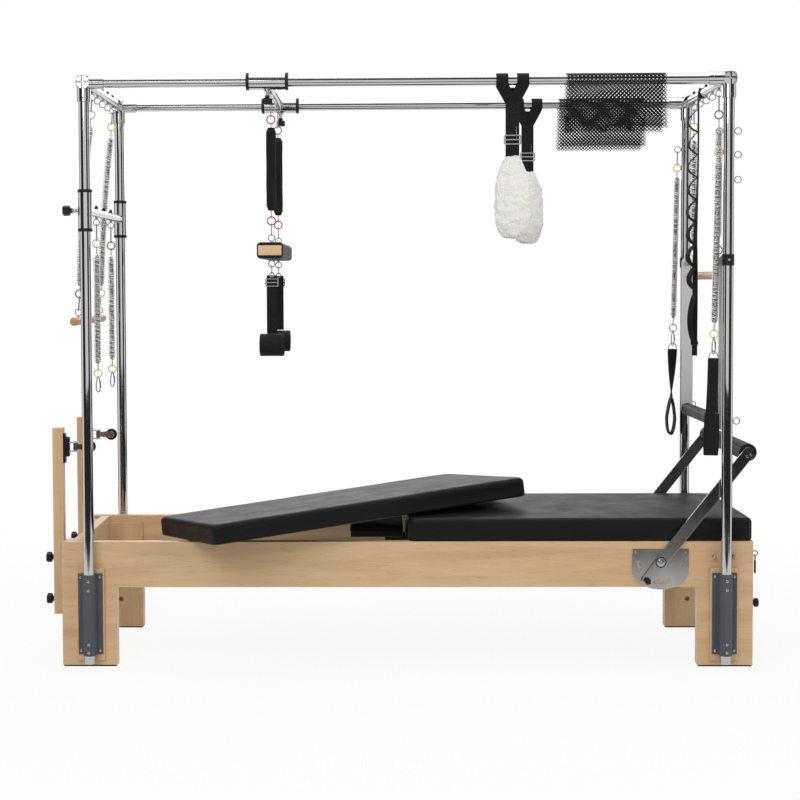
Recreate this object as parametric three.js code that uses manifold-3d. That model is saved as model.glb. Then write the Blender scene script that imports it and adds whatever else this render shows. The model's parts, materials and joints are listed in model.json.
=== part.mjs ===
// Pilates trapeze table: a reformer bed of wood under a chrome tube canopy, with spring-hung bars,
// straps and handles, a push-through bar, a foot bar, two loose mats and a trapeze.
// Millimetres. X runs along the bed (risers at -X), Y is depth (near side at -Y), Z is up.
// The bed is drawn about its own centre on the floor, and the whole group is moved at the end
// so that its origin is the centre of the bottom of its bounding box.
import * as THREE from 'three';
import { mergeVertices } from 'three/addons/utils/BufferGeometryUtils.js';
import Module from 'manifold-3d';

const wasm = await Module();
wasm.setup();

// Driving dimensions of the bed
const bed = { length: 2450, width: 680, railThick: 35, railTop: 447, railBottom: 284 };
const leg = { width: 195, thick: 50, top: 420, padHeight: 5, padInset: 3 };
const endBoard = { thick: 35, recess: 30 };
const track = { width: 37, top: 330, thick: 12 };
const seat = { gap: 0.3, slip: 0.6, overrun: 5 };

// Canopy of tubes
const post = { radius: 19, wall: 2, foot: 20, inset: 104, stand: 38 };
const topRail = { z: 2065 };
const crossTube = { radius: 16 };
const corner = { radius: 24, reach: 72, drop: 68, bore: 23, cover: 24 };
const bracket = {
  plateWidth: 98, plateBottom: 25, plateTop: 354, plateThick: 14,
  width: 87, bottom: 49, top: 337, thick: 5, collar: 22.5,
  screw: 5, screwHeight: 3, screwInset: 10,
};
const eye = { radius: 11.5, wire: 2, shank: 3, spacing: 110, inset: 3.5 };
const midBar = { drop: 445, height: 148, radius: 24, band: 12, bandOver: 1.5, eyeSpread: 155 };
const slider = { fromLeft: 745, length: 148, radius: 29, band: 12, bandOver: 1.5, eyeSpread: 200 };
const sideKnob = { radius: 19, length: 36, stem: 8.5, stemLength: 18 };
const lowKnob = { radius: 18, length: 32, stem: 6, stemLength: 20 };
const postEye = { drops: [181, 263, 349], low: 876 };

// Springs and what hangs on them; depths are measured down from the eye that carries the chain
const spring = { radius: 11.5, wire: 2.4, cap: 13, capHeight: 9, sleeve: 20 };
const link = { halfWidth: 7, wire: 1.6 };
const chainRing = { radius: 11, wire: 3 };
const leftUpper = { lean: 4.25, spread: 220, ring: 62, coilTop: 99, coilBottom: 682, lowRing: 706, drop: 790, curls: 5 };
const leftLower = { spread: 155, ring: 77, coilTop: 115, coilBottom: 518, lowRing: 551, end: 621, curls: 4 };
const trapezeSpring = { ring: 81, top: 110, bottom: 407, lowRing: 444, drop: 507 };
const rightUpper = { spread: 220, ring: 75, coilTop: 121, coilBottom: 517, lowRing: 557, drop: 617, curls: 4 };
const rightLower = { lean: 1.2, ring: 72, coilTop: 104, coilBottom: 669, lowRing: 704, drop: 775, curls: 5 };
const dowel = { radius: 15, clear: 40 };
const trapezeBar = { width: 95, height: 60, length: 600, coreWidth: 84, coreHeight: 36, coreOut: 3, edge: 14 };
const cuff = { hook: 24, strap: 38, strapThick: 4, length: 87, height: 81, depth: 95, wall: 8, drop: 333, buckle: 30 };
const handle = {
  strap: 38, thick: 5, length: 341, loop: 150, nearWidth: 50, nearDepth: 32, farWidth: 38, farDepth: 50, wall: 4,
};
const fuzzy = {
  nearInset: 853, farInset: 728, band: 42, thick: 3, spread: 36, strap: 48, buckleDrop: 207, buckleHeight: 30,
  buckleDepth: 10, drop: 259, lowDrop: 551, width: 115, depth: 96, wall: 24,
};
const meshPad = {
  nearInset: 316, nearLength: 353, farInset: 267, farLength: 341, thick: 3.5, frontDrop: 173, backDrop: 190,
};
const daisy = {
  y: 50, width: 25, thick: 3, scallops: 8, startDrop: 60, spacing: 84, bulge: 38, loopTop: 750, loopBottom: 935,
  loopBulge: 30, length: 995,
};

// Bars that turn on the frame
const pushBar = { pivotDrop: 627, width: 45, thick: 8, fromPost: 47, roller: 24, rollerZ: 862, core: 10, stud: 8, nut: 13 };
const footBar = {
  pivotInset: 327, pivotZ: 374, lowInset: 375, lowZ: 308, rollerInset: 21, rollerZ: 761, clear: 5, thick: 7, width: 41,
  roller: 31.5, core: 12, pin: 8, pinHead: 12, pinHeadHeight: 4, knob: 12, knobLength: 20, boltSpread: 7,
};
const footPlate = {
  inset: 228, length: 198, top: 421, shoulder: 348, bottom: 276, thick: 4, slotWidth: 12,
  outerSlot: 78, outerFrom: 176, outerTo: 206, innerSlot: 72, innerFrom: 240, innerTo: 300,
};

// Reformer parts in the bed
const carriage = { fromRight: 1221, length: 696, clear: 43, boardBottom: 380, boardThick: 20, padThick: 40, block: 30 };
const wheel = { radius: 24.7, width: 18, clear: 9, axle: 5, inset: 95 };
const headrest = {
  length: 197, clear: 10, halfWidth: 140, boardBottom: 430, boardThick: 20, padThick: 24, armWidth: 48, armThick: 8,
  armReach: 78, armGrip: 37, pin: 6,
};
const riser = { size: 38, inset: 108, bottom: 170, top: 845, blockThick: 39, blockBottom: 195, blockTop: 440,
  screwLow: 223, screwHigh: 374, travel: 120, stem: 5, knob: 20, knobLength: 28 };
const pulley = { z: 776, bracket: 22, bracketTop: 825, bracketBottom: 717, tab: 6, tabGap: 26, pin: 4, lug: 9,
  reach: 51, radius: 22, cheek: 3, width: 20, tabReach: 30 };
const rightMat = { length: 1219, thick: 86, corner: 30, edge: 18, crown: 4, tuck: 4, foot: 6 };
const leftMat = {
  length: 1224, width: 646, thick: 74, corner: 30, edge: 18, crown: 3, tuck: 3, foot: 6,
  fromLeft: 571, outside: 261, yaw: 0.4291, tip: 0.0822, roll: -0.0897,
};
const endKnob = { radius: 16, length: 24, z: 224 };
const endEye = { z: 400, radius: 9, wire: 2.5, strapWidth: 20, strapThick: 4, strapDrop: 62 };
const railEye = { spread: 35, z: 393, radius: 8, wire: 2.5 };

const count = { tube: 12, rod: 6, ring: 6, eye: 10, wire: 3, curlSteps: 6, curlSides: 4, bolt: 4, arc: 4, linkEnd: 3, loop: 16,
  corner: 3, edge: 4, bend: 10, dish: 10, slot: 6, grip: 7 };
const crownShares = [0.15, 0.35, 0.6, 0.9];

// Places that follow the bed and the top rails
const halfWidth = bed.width / 2;
const halfLength = bed.length / 2;
const postX = halfLength - post.inset;
const postY = halfWidth + post.stand;
const midBarZ = topRail.z - midBar.drop;
const sliderX = slider.fromLeft - halfLength;
const pushInner = postY - pushBar.fromPost;
const pushZ = topRail.z - pushBar.pivotDrop;
const pivotX = halfLength - footBar.pivotInset;
const footInner = halfWidth + footBar.clear;
const carriageLeft = halfLength - carriage.fromRight;
const carriageHalf = halfWidth - bed.railThick - carriage.clear;
const wheelOut = halfWidth - bed.railThick - wheel.clear;
const riserY = halfWidth - riser.inset;
const dowelHalf = halfWidth - dowel.clear;
const up = new THREE.Vector3(0, 0, 1);

// Materials
const paint = (color, roughness, metalness) => new THREE.MeshStandardMaterial({ color, roughness, metalness });
const chrome = paint(0xc9ccd1, 0.15, 1);
const steel = paint(0x6f7278, 0.35, 1);
const maple = paint(0xd9b07c, 0.5, 0);
const vinyl = paint(0x1b1b1d, 0.55, 0);
const plastic = paint(0x17171a, 0.45, 0);
const webbing = paint(0x141416, 0.85, 0);
const fleece = paint(0xf1ede4, 0.95, 0);
const powder = paint(0x4a4c54, 0.5, 0.4);

// Solids: every piece is a closed mesh, joined and cut as a manifold
function solidOf(geometry) {
  const bare = geometry.clone();
  bare.deleteAttribute('normal');
  bare.deleteAttribute('uv');
  const welded = mergeVertices(bare);
  const index = welded.index.array;
  const triangles = [];
  for (let i = 0; i < index.length; i += 3) {
    const [a, b, c] = [index[i], index[i + 1], index[i + 2]];
    if (a !== b && b !== c && c !== a) triangles.push(a, b, c);
  }
  const vertProperties = new Float32Array(welded.attributes.position.array);
  return new wasm.Manifold(new wasm.Mesh({ numProp: 3, vertProperties, triVerts: new Uint32Array(triangles) }));
}

const join = (...pieces) => pieces.flat(3).reduce((whole, piece) => whole.add(piece));
const cut = (body, ...tools) => tools.flat(3).reduce((whole, tool) => whole.subtract(tool), body);

function geometryOf(solid) {
  const mesh = solid.getMesh();
  const geometry = new THREE.BufferGeometry();
  geometry.setAttribute('position', new THREE.BufferAttribute(new Float32Array(mesh.vertProperties), 3));
  geometry.setIndex(new THREE.BufferAttribute(new Uint32Array(mesh.triVerts), 1));
  geometry.computeVertexNormals();
  return geometry;
}

function box(x0, x1, y0, y1, z0, z1) {
  const geometry = new THREE.BoxGeometry(Math.abs(x1 - x0), Math.abs(y1 - y0), Math.abs(z1 - z0));
  geometry.translate((x0 + x1) / 2, (y0 + y1) / 2, (z0 + z1) / 2);
  return solidOf(geometry);
}

// A round bar between two points
function rod(radius, from, to, sides = count.rod, turned = 0) {
  const start = new THREE.Vector3(...from);
  const line = new THREE.Vector3(...to).sub(start);
  const geometry = new THREE.CylinderGeometry(radius, radius, line.length(), sides);
  geometry.rotateY(turned);
  geometry.rotateX(Math.PI / 2);
  geometry.applyQuaternion(new THREE.Quaternion().setFromUnitVectors(up, line.clone().normalize()));
  geometry.translate(...start.addScaledVector(line, 0.5).toArray());
  return solidOf(geometry);
}

// The hole that a rod of some radius turns in: its flats clear the rod's corners
const turningRadius = (radius, sides) => (radius + seat.gap) / Math.cos(Math.PI / sides);
const turningHole = (radius, from, to, sides = count.rod) => rod(turningRadius(radius, sides), from, to, sides, Math.PI / sides);

// A wire ring about the Y axis, or about the X axis when turned
function ring(radius, wire, centre, { aboutX = false, steps = count.ring } = {}) {
  const geometry = new THREE.TorusGeometry(radius, wire, count.wire, steps);
  geometry.rotateX(Math.PI / 2);
  if (aboutX) geometry.rotateZ(Math.PI / 2);
  geometry.translate(...centre);
  return solidOf(geometry);
}

// An outline in the XZ plane, or in the YZ plane when turned, given thickness along the other axis
function plate(points, from, to, { holes = [], alongX = false } = {}) {
  const shape = new THREE.Shape(points.map(([a, b]) => new THREE.Vector2(a, b)));
  shape.holes = holes.map((hole) => new THREE.Path(hole.map(([a, b]) => new THREE.Vector2(a, b))));
  const geometry = new THREE.ExtrudeGeometry(shape, { depth: to - from, bevelEnabled: false });
  const turn = new THREE.Matrix4();
  if (alongX) turn.set(0, 0, 1, from, 1, 0, 0, 0, 0, 1, 0, 0, 0, 0, 0, 1);
  else turn.set(1, 0, 0, 0, 0, 0, -1, to, 0, 1, 0, 0, 0, 0, 0, 1);
  geometry.applyMatrix4(turn);
  return solidOf(geometry);
}

// Points on an arc, in degrees
function arc(cx, cz, radius, from, to, steps, squash = 1) {
  const points = [];
  for (let i = 0; i <= steps; i++) {
    const angle = THREE.MathUtils.degToRad(from + ((to - from) * i) / steps);
    points.push([cx + radius * Math.cos(angle), cz + radius * squash * Math.sin(angle)]);
  }
  return points;
}

// Points round a circle about the origin
const circle = (radius) => arc(0, 0, radius, 0, 360, count.tube).slice(1);

// A flat bar with round ends from one point to another in the XZ plane
function stadium(x0, z0, x1, z1, width, steps = count.slot) {
  const turn = THREE.MathUtils.radToDeg(Math.atan2(z1 - z0, x1 - x0));
  return [...arc(x1, z1, width / 2, turn - 90, turn + 90, steps), ...arc(x0, z0, width / 2, turn + 90, turn + 270, steps)];
}

// A closed skin over rings of points that all have the same count, first to last
function skin(rings) {
  const size = rings[0].length;
  const faces = [];
  for (let r = 0; r + 1 < rings.length; r++) {
    for (let i = 0; i < size; i++) {
      const [a, b] = [r * size + i, r * size + ((i + 1) % size)];
      faces.push(a, b, b + size, a, b + size, a + size);
    }
  }
  const last = (rings.length - 1) * size;
  for (let i = 1; i + 1 < size; i++) faces.push(0, i + 1, i, last, last + i, last + i + 1);
  const geometry = new THREE.BufferGeometry();
  geometry.setAttribute('position', new THREE.Float32BufferAttribute(rings.flat(2), 3));
  geometry.setIndex(faces);
  return solidOf(geometry);
}

// A coil of wire down the Z axis from one depth to another
const coilGaps = [];
function coil(top, bottom, curls) {
  const steps = curls * count.curlSteps;
  const pitch = (top - bottom) / curls;
  const rings = [];
  for (let k = 0; k <= steps; k++) {
    const turn = (-2 * Math.PI * k) / count.curlSteps;
    const out = new THREE.Vector3(Math.cos(turn), Math.sin(turn), 0);
    const centre = out.clone().multiplyScalar(spring.radius).setZ(top - (pitch * k) / count.curlSteps);
    const along = new THREE.Vector3(Math.sin(turn), -Math.cos(turn), 0).multiplyScalar(spring.radius);
    along.setZ(-pitch / (2 * Math.PI)).normalize();
    const side = new THREE.Vector3().crossVectors(along, out);
    rings.push(Array.from({ length: count.curlSides }, (_, i) => {
      const angle = (2 * Math.PI * i) / count.curlSides;
      const point = centre.clone().addScaledVector(out, spring.wire * Math.cos(angle));
      return point.addScaledVector(side, spring.wire * Math.sin(angle)).toArray();
    }));
  }
  coilGaps.push(leastGap(rings));
  return skin(rings);
}

// The least distance between points of a tube that are more than half a curl apart along it
function leastGap(rings) {
  let least = Infinity;
  const apart = count.curlSteps / 2;
  rings.forEach((near, i) => rings.slice(i + apart).forEach((far) => {
    for (const p of near) for (const q of far) least = Math.min(least, Math.hypot(p[0] - q[0], p[1] - q[1], p[2] - q[2]));
  }));
  return least;
}

// A rounded rectangle about a centre, drawn in by an inset
function loop(length, width, radius, inset, z, steps = count.corner) {
  const [a, b] = [length / 2 - inset, width / 2 - inset];
  const r = Math.max(Math.min(radius - inset, a, b), (radius * b) / width / 2);
  const points = [];
  for (const [sx, sy, from] of [[1, -1, -90], [1, 1, 0], [-1, 1, 90], [-1, -1, 180]]) {
    points.push(...arc(sx * (a - r), sy * (b - r), r, from, from + 90, steps).map(([x, y]) => [x, y, z]));
  }
  return points;
}

// A cushion on its flat bottom: sides drawn in at the middle, rounded top edge and a low crown
function cushion(length, width, { thick, corner: radius, edge, crown, tuck, foot }) {
  const wall = thick - crown - edge;
  const rings = [[foot, 0], [0, foot], [tuck, wall / 2], [0, wall]].map(([inset, z]) => loop(length, width, radius, inset, z));
  for (let i = 1; i <= count.edge; i++) {
    const angle = (Math.PI / 2) * (i / count.edge);
    rings.push(loop(length, width, radius, edge * (1 - Math.cos(angle)), wall + edge * Math.sin(angle)));
  }
  const reach = width / 2 - edge;
  for (const share of crownShares) {
    const rise = crown * (1 - (1 - share) ** 2);
    rings.push(loop(length, width, radius, edge + reach * share, wall + edge + rise));
  }
  return skin(rings);
}

const root = new THREE.Group();

function place(name, solid, material, { position = [0, 0, 0], rotation = [0, 0, 0, 'XYZ'], parent = root } = {}) {
  const mesh = new THREE.Mesh(geometryOf(solid), material);
  mesh.name = name;
  mesh.position.set(...position);
  mesh.rotation.set(...rotation);
  parent.add(mesh);
  return mesh;
}

const sideNames = { near: -1, far: 1 };
const eachSide = (make) => Object.entries(sideNames).forEach(([name, sign]) => make(name, sign));
const eachEnd = (make) => Object.entries({ left: -1, right: 1 }).forEach(([name, sign]) => make(name, sign));

// A box given on the far side, mirrored to the near side by its sign
const sideBox = (sign, x0, x1, y0, y1, z0, z1) => box(x0, x1, Math.min(sign * y0, sign * y1), Math.max(sign * y0, sign * y1), z0, z1);

// Wooden bed
function makeSideRail(name, sign) {
  const inner = halfWidth - bed.railThick;
  const pieces = [sideBox(sign, -halfLength, halfLength, inner, halfWidth, bed.railBottom, bed.railTop)];
  for (const end of [-1, 1]) {
    const [x0, x1] = [end * (halfLength - leg.width), end * halfLength];
    const pad = leg.padInset;
    pieces.push(sideBox(sign, x0, x1, halfWidth - leg.thick, halfWidth, leg.padHeight, leg.top));
    pieces.push(sideBox(sign, x0 + end * pad, x1 - end * pad, halfWidth - leg.thick + pad, halfWidth - pad, 0, leg.padHeight));
    const middle = end * postX;
    pieces.push(sideBox(sign, middle - bracket.plateWidth / 2, middle + bracket.plateWidth / 2,
      halfWidth, halfWidth + bracket.plateThick, bracket.plateBottom, bracket.plateTop));
  }
  if (sign < 0) pieces.push(...nearRailFittings());
  place(`side_rail_${name}`, join(pieces), maple);
}

// Ring bolts by the near right post, and the knob and strap on the right end of the near rail
function nearRailFittings() {
  const face = -halfWidth;
  const middle = face + leg.thick / 2;
  const pieces = [];
  for (const side of [-1, 1]) {
    const centre = [postX + side * railEye.spread, face - railEye.radius - railEye.wire, railEye.z];
    pieces.push(ring(railEye.radius, railEye.wire, centre, { aboutX: true }));
    pieces.push(rod(railEye.wire, [centre[0], face + railEye.wire, railEye.z], [centre[0], face - 2 * railEye.wire, railEye.z]));
  }
  pieces.push(rod(endKnob.radius, [halfLength - seat.overrun, middle, endKnob.z], [halfLength + endKnob.length, middle, endKnob.z]));
  const eyeX = halfLength + endEye.radius + endEye.wire;
  pieces.push(ring(endEye.radius, endEye.wire, [eyeX, middle, endEye.z]));
  pieces.push(rod(endEye.wire, [halfLength - seat.overrun, middle, endEye.z], [halfLength + 2 * endEye.wire, middle, endEye.z]));
  pieces.push(box(eyeX - endEye.strapThick / 2, eyeX + endEye.strapThick / 2, middle - endEye.strapWidth / 2,
    middle + endEye.strapWidth / 2, endEye.z - endEye.radius - endEye.strapDrop, endEye.z - endEye.radius));
  return pieces;
}

function makeEndBoards() {
  const half = halfWidth - leg.thick - seat.gap;
  eachEnd((name, sign) => {
    const outer = halfLength - endBoard.recess;
    const board = box(sign * (outer - endBoard.thick), sign * outer, -half, half, bed.railBottom, bed.railTop);
    place(`end_board_${name}`, join(board, name === 'left' ? riserMounts(outer) : wheelTracks(outer)), maple);
  });
}

// The two tracks that the carriage runs on, joined to the right end board between the legs
function wheelTracks(outer) {
  const inner = halfWidth - bed.railThick;
  const legFace = halfLength - leg.width - seat.gap;
  const low = track.top - track.thick;
  return [-1, 1].flatMap((sign) => [
    sideBox(sign, -legFace, legFace, inner - track.width, inner - seat.gap, low, track.top),
    sideBox(sign, legFace - seat.overrun, outer - seat.overrun, inner - track.width, halfWidth - leg.thick - seat.gap, low, track.top),
  ]);
}

// Blocks, screws and knobs that hold the two risers on the left end board
function riserMounts(face) {
  const pieces = [];
  const blockFace = -face - riser.blockThick;
  const knobFace = blockFace - riser.size - 2 * seat.gap;
  for (const side of [-1, 1]) {
    const y = side * riserY;
    pieces.push(box(blockFace, -face + seat.overrun, y - riser.size / 2, y + riser.size / 2, riser.blockBottom, riser.blockTop));
    for (const z of [riser.screwLow, riser.screwHigh]) {
      pieces.push(rod(riser.stem, [blockFace + seat.overrun, y, z], [knobFace - seat.overrun, y, z]));
      pieces.push(rod(riser.knob, [knobFace, y, z], [knobFace - riser.knobLength, y, z]));
    }
  }
  return pieces;
}

function makeRisers() {
  const face = -(halfLength - endBoard.recess + riser.blockThick + seat.gap);
  const half = riser.size / 2;
  eachSide((name, sign) => {
    const y = sign * riserY;
    const slots = [riser.screwLow, riser.screwHigh].map((z) => {
      const outline = stadium(y, z, y, z + riser.travel, 2 * (riser.stem + seat.gap));
      return plate(outline, face - riser.size - seat.overrun, face + seat.overrun, { alongX: true });
    });
    const body = cut(box(face - riser.size, face, y - half, y + half, riser.bottom, riser.top), slots);
    const plateFace = face + pulley.bracket;
    const pinX = plateFace + pulley.tabReach - pulley.lug - seat.gap;
    const tabs = [-1, 1].map((turn) => box(plateFace - seat.overrun, pinX + pulley.lug, y - pulley.lug, y + pulley.lug,
      pulley.z + turn * (pulley.tabGap / 2), pulley.z + turn * (pulley.tabGap / 2 + pulley.tab)));
    const pin = rod(pulley.pin, [pinX, y, pulley.z - pulley.tabGap / 2 - pulley.pin], [pinX, y, pulley.z + pulley.tabGap / 2 + pulley.pin]);
    const holder = box(face - seat.overrun, plateFace, y - half + leg.padInset, y + half - leg.padInset, pulley.bracketBottom, pulley.bracketTop);
    place(`riser_${name}`, join(body, holder, tabs, pin), maple);
    makePulley(name, pinX, y);
  });
}

function makePulley(name, pinX, y) {
  const height = pulley.tabGap / 2 - seat.gap;
  const lug = rod(pulley.lug, [0, 0, -height], [0, 0, height]);
  const bore = turningHole(pulley.pin, [0, 0, -pulley.tabGap], [0, 0, pulley.tabGap]);
  const arm = box(0, pulley.reach, -pulley.width / 2 + pulley.cheek, pulley.width / 2 - pulley.cheek, -height, height);
  const cheeks = [-1, 1].map((side) => rod(pulley.radius,
    [pulley.reach, side * (pulley.width / 2 - pulley.cheek), 0], [pulley.reach, (side * pulley.width) / 2, 0], count.tube));
  const drum = rod(pulley.radius - pulley.cheek, [pulley.reach, -pulley.width / 2 + pulley.cheek, 0],
    [pulley.reach, pulley.width / 2 - pulley.cheek, 0], count.tube);
  place(`pulley_${name}`, cut(join(lug, arm, cheeks, drum), bore), plastic, { position: [pinX, y, pulley.z] });
}

// Canopy of tubes
const bore = post.radius + seat.gap;

function makePosts() {
  eachEnd((end, ex) => eachSide((name, sy) => {
    const [x, y] = [ex * postX, sy * postY];
    const top = topRail.z - corner.cover;
    const tube = cut(rod(post.radius, [x, y, post.foot], [x, y, top - seat.gap], count.tube),
      rod(post.radius - post.wall, [x, y, post.foot - seat.overrun], [x, y, top + seat.overrun], count.tube));
    const pieces = [tube];
    if (end === 'right') pieces.push(...postFittings(x, y, sy));
    place(`post_${end}_${name}`, join(pieces), chrome);
    makeBracket(end, name, x, sy);
  }));
}

// Eyes up the outer side of a right post, one on its inner side, and the stud that the push-through bar turns on
function postFittings(x, y, sy) {
  const pieces = [];
  const reach = post.radius + eye.radius + eye.wire;
  const addEye = (side, z) => {
    const sunk = post.radius - post.wall / 2;
    pieces.push(ring(eye.radius, eye.wire, [x + side * reach, y, z], { steps: count.eye }));
    pieces.push(rod(eye.shank, [x + side * sunk, y, z], [x + side * (reach - eye.radius), y, z], count.bolt));
  };
  for (const z of [...postEye.drops.map((drop) => topRail.z - drop), postEye.low]) addEye(1, z);
  addEye(-1, topRail.z - postEye.drops[0]);
  const z = pushZ;
  const nutFace = sy * (pushInner - seat.gap);
  const sunk = y - sy * (post.radius - post.wall / 2);
  pieces.push(rod(pushBar.stud, [x, sunk, z], [x, nutFace - sy * pushBar.thick, z]));
  pieces.push(rod(pushBar.nut, [x, nutFace, z], [x, nutFace - sy * pushBar.thick, z], count.bolt));
  return pieces;
}

// A flange on the wooden plate with a collar round the post and its screws
function makeBracket(end, name, x, sy) {
  const back = halfWidth + bracket.plateThick + seat.gap;
  const face = back + bracket.thick;
  const y = sy * postY;
  const flange = sideBox(sy, x - bracket.width / 2, x + bracket.width / 2, back, face, bracket.bottom, bracket.top);
  const collar = rod(bracket.collar, [x, y, bracket.bottom], [x, y, bracket.top], count.tube);
  const behind = sideBox(sy, x - bracket.width, x + bracket.width, 0, back, 0, topRail.z);
  const screws = [];
  for (const side of [-1, 1]) {
    for (const share of [0, 1 / 3, 2 / 3, 1]) {
      const z = bracket.bottom + bracket.screwInset + share * (bracket.top - bracket.bottom - 2 * bracket.screwInset);
      const sx = x + side * (bracket.width / 2 - bracket.screwInset);
      screws.push(rod(bracket.screw, [sx, sy * (face - seat.gap), z], [sx, sy * (face + bracket.screwHeight), z], count.bolt));
    }
  }
  const hole = rod(bore, [x, y, 0], [x, y, bracket.top + seat.overrun], count.tube);
  place(`post_bracket_${end}_${name}`, cut(join(flange, collar, screws), hole, behind), powder);
}

function makeTopRails() {
  const end = postX - corner.bore;
  eachSide((name, sign) => {
    const y = sign * postY;
    const tube = cut(rod(post.radius, [-end, y, topRail.z], [end, y, topRail.z], count.tube),
      rod(post.radius - post.wall, [-postX, y, topRail.z], [postX, y, topRail.z], count.tube));
    place(`top_rail_${name}`, tube, chrome);
  });
}

// Eyes under a cross tube
function eyesUnder(x, z, places) {
  return places.flatMap((y) => {
    const centre = z - crossTube.radius - eye.radius - eye.wire - eye.inset;
    return [
      ring(eye.radius, eye.wire, [x, y, centre], { steps: count.eye }),
      rod(eye.shank, [x, y, centre + eye.radius], [x, y, z - crossTube.radius + eye.inset], count.bolt),
    ];
  });
}
const eyeDrop = crossTube.radius + eye.radius + eye.wire + eye.inset;

function makeTopBars() {
  eachEnd((end, ex) => {
    const x = ex * postX;
    const pieces = [rod(crossTube.radius, [x, -postY, topRail.z], [x, postY, topRail.z], count.tube)];
    const holes = [];
    eachSide((name, sy) => {
      const y = sy * postY;
      pieces.push(rod(corner.radius, [x, y, topRail.z - corner.drop], [x, y, topRail.z + corner.radius], count.tube));
      pieces.push(rod(corner.radius, [x - ex * corner.reach, y, topRail.z], [x + ex * corner.radius, y, topRail.z], count.tube));
      pieces.push(rod(corner.radius, [x, y, topRail.z], [x, y - sy * corner.reach, topRail.z], count.tube));
      holes.push(rod(bore, [x, y, topRail.z - corner.drop - seat.overrun], [x, y, topRail.z - corner.cover], count.tube));
      holes.push(rod(bore, [x - ex * (corner.reach + seat.overrun), y, topRail.z], [x - ex * (corner.bore - seat.gap), y, topRail.z], count.tube));
    });
    pieces.push(...eyesUnder(x, topRail.z, [-2, -1, 0, 1, 2].map((step) => step * eye.spacing)));
    place(`top_bar_${end}`, cut(join(pieces), holes), chrome);
  });
}

// A sleeve with a black band at each end
function sleeve({ radius, band, bandOver }, from, to) {
  const axis = new THREE.Vector3(...to).sub(new THREE.Vector3(...from)).normalize();
  const step = (point, length) => new THREE.Vector3(...point).addScaledVector(axis, length).toArray();
  return [
    rod(radius, from, to, count.tube),
    rod(radius + bandOver, from, step(from, band), count.tube),
    rod(radius + bandOver, step(to, -band), to, count.tube),
  ];
}

// The cross bar that slides on the left posts, with its knob
function makeMidBar() {
  const x = -postX;
  const pieces = [rod(crossTube.radius, [x, -postY, midBarZ], [x, postY, midBarZ], count.tube)];
  const holes = [];
  eachSide((name, sy) => {
    const y = sy * postY;
    const [low, high] = [midBarZ - midBar.height / 2, midBarZ + midBar.height / 2];
    pieces.push(...sleeve(midBar, [x, y, low], [x, y, high]));
    holes.push(rod(bore, [x, y, low - seat.overrun], [x, y, high + seat.overrun], count.tube));
  });
  pieces.push(...eyesUnder(x, midBarZ, [-1, 0, 1].map((step) => step * midBar.eyeSpread)));
  const knobFace = x - midBar.radius - sideKnob.stemLength;
  const tip = x - post.radius - seat.slip;
  holes.push(turningHole(sideKnob.stem, [knobFace, -postY, midBarZ], [x, -postY, midBarZ]));
  place('mid_bar', cut(join(pieces), holes), chrome);
  const knob = join(rod(sideKnob.stem, [tip, 0, 0], [knobFace - seat.overrun, 0, 0]),
    rod(sideKnob.radius, [knobFace, 0, 0], [knobFace - sideKnob.length, 0, 0], count.tube));
  place('mid_bar_knob', knob, plastic, { position: [0, -postY, midBarZ] });
}

// The trapeze slider on the top rails, with a knob under each sleeve
function makeSlider() {
  const [x, z] = [sliderX, topRail.z];
  const half = slider.length / 2;
  const pieces = [rod(crossTube.radius, [x, -postY, z], [x, postY, z], count.tube)];
  const holes = [];
  eachSide((name, sy) => {
    const y = sy * postY;
    pieces.push(...sleeve(slider, [x - half, y, z], [x + half, y, z]));
    holes.push(rod(bore, [x - half - seat.overrun, y, z], [x + half + seat.overrun, y, z], count.tube));
    holes.push(turningHole(lowKnob.stem, [x, y, z], [x, y, z - slider.radius - seat.overrun]));
    const face = -slider.radius - lowKnob.stemLength;
    const knob = join(rod(lowKnob.stem, [0, 0, -post.radius - seat.slip], [0, 0, face - seat.overrun]),
      rod(lowKnob.radius, [0, 0, face], [0, 0, face - lowKnob.length], count.tube));
    place(`slider_knob_${name}`, knob, plastic, { position: [x, y, z] });
  });
  pieces.push(...eyesUnder(x, z, [-slider.eyeSpread, slider.eyeSpread]));
  place('trapeze_slider', cut(join(pieces), holes), chrome);
}

// Chains: the origin is the centre of the eye that carries them, and they hang down -Z
// The link's wire turns inside the flats of the eye without touching them
const wireInner = Math.cos(Math.PI / count.wire);
const eyeHole = eye.radius - eye.wire * wireInner;
const eyeFlat = eyeHole * Math.cos(Math.PI / count.eye) - seat.gap;
const linkWire = 2 * link.wire * Math.cos(Math.PI / (2 * count.linkEnd));
const linkTop = Math.sqrt(eyeFlat ** 2 - link.wire ** 2) - linkWire;

// A long link from one depth to another, with a flat at the middle of each end
function longLink(from, to) {
  const outer = link.halfWidth + link.wire;
  const flat = outer * Math.cos(Math.PI / (2 * count.linkEnd));
  const outline = (width) => stadium(0, -to + flat, 0, -from - flat, width, count.linkEnd);
  return plate(outline(2 * outer), -link.wire, link.wire, { holes: [outline(2 * (link.halfWidth - link.wire))], alongX: true });
}

// The link through the eye, a ring, and a hook down to a given depth
function upperChain(ringDepth, coilDepth) {
  return [
    longLink(linkTop, ringDepth - chainRing.radius + link.wire),
    ring(chainRing.radius, chainRing.wire, [0, 0, -ringDepth]),
    rod(spring.wire, [0, 0, -ringDepth - chainRing.radius], [0, 0, -coilDepth - spring.wire], count.bolt),
  ];
}

function coilBetween(top, bottom, curls) {
  const ends = [[top, top + spring.capHeight], [bottom - spring.capHeight, bottom]];
  return [
    ...ends.map(([from, to]) => rod(spring.cap, [0, 0, -from], [0, 0, -to])),
    coil(-top - spring.capHeight + spring.wire, -bottom + spring.capHeight - spring.wire, curls),
  ];
}

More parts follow.
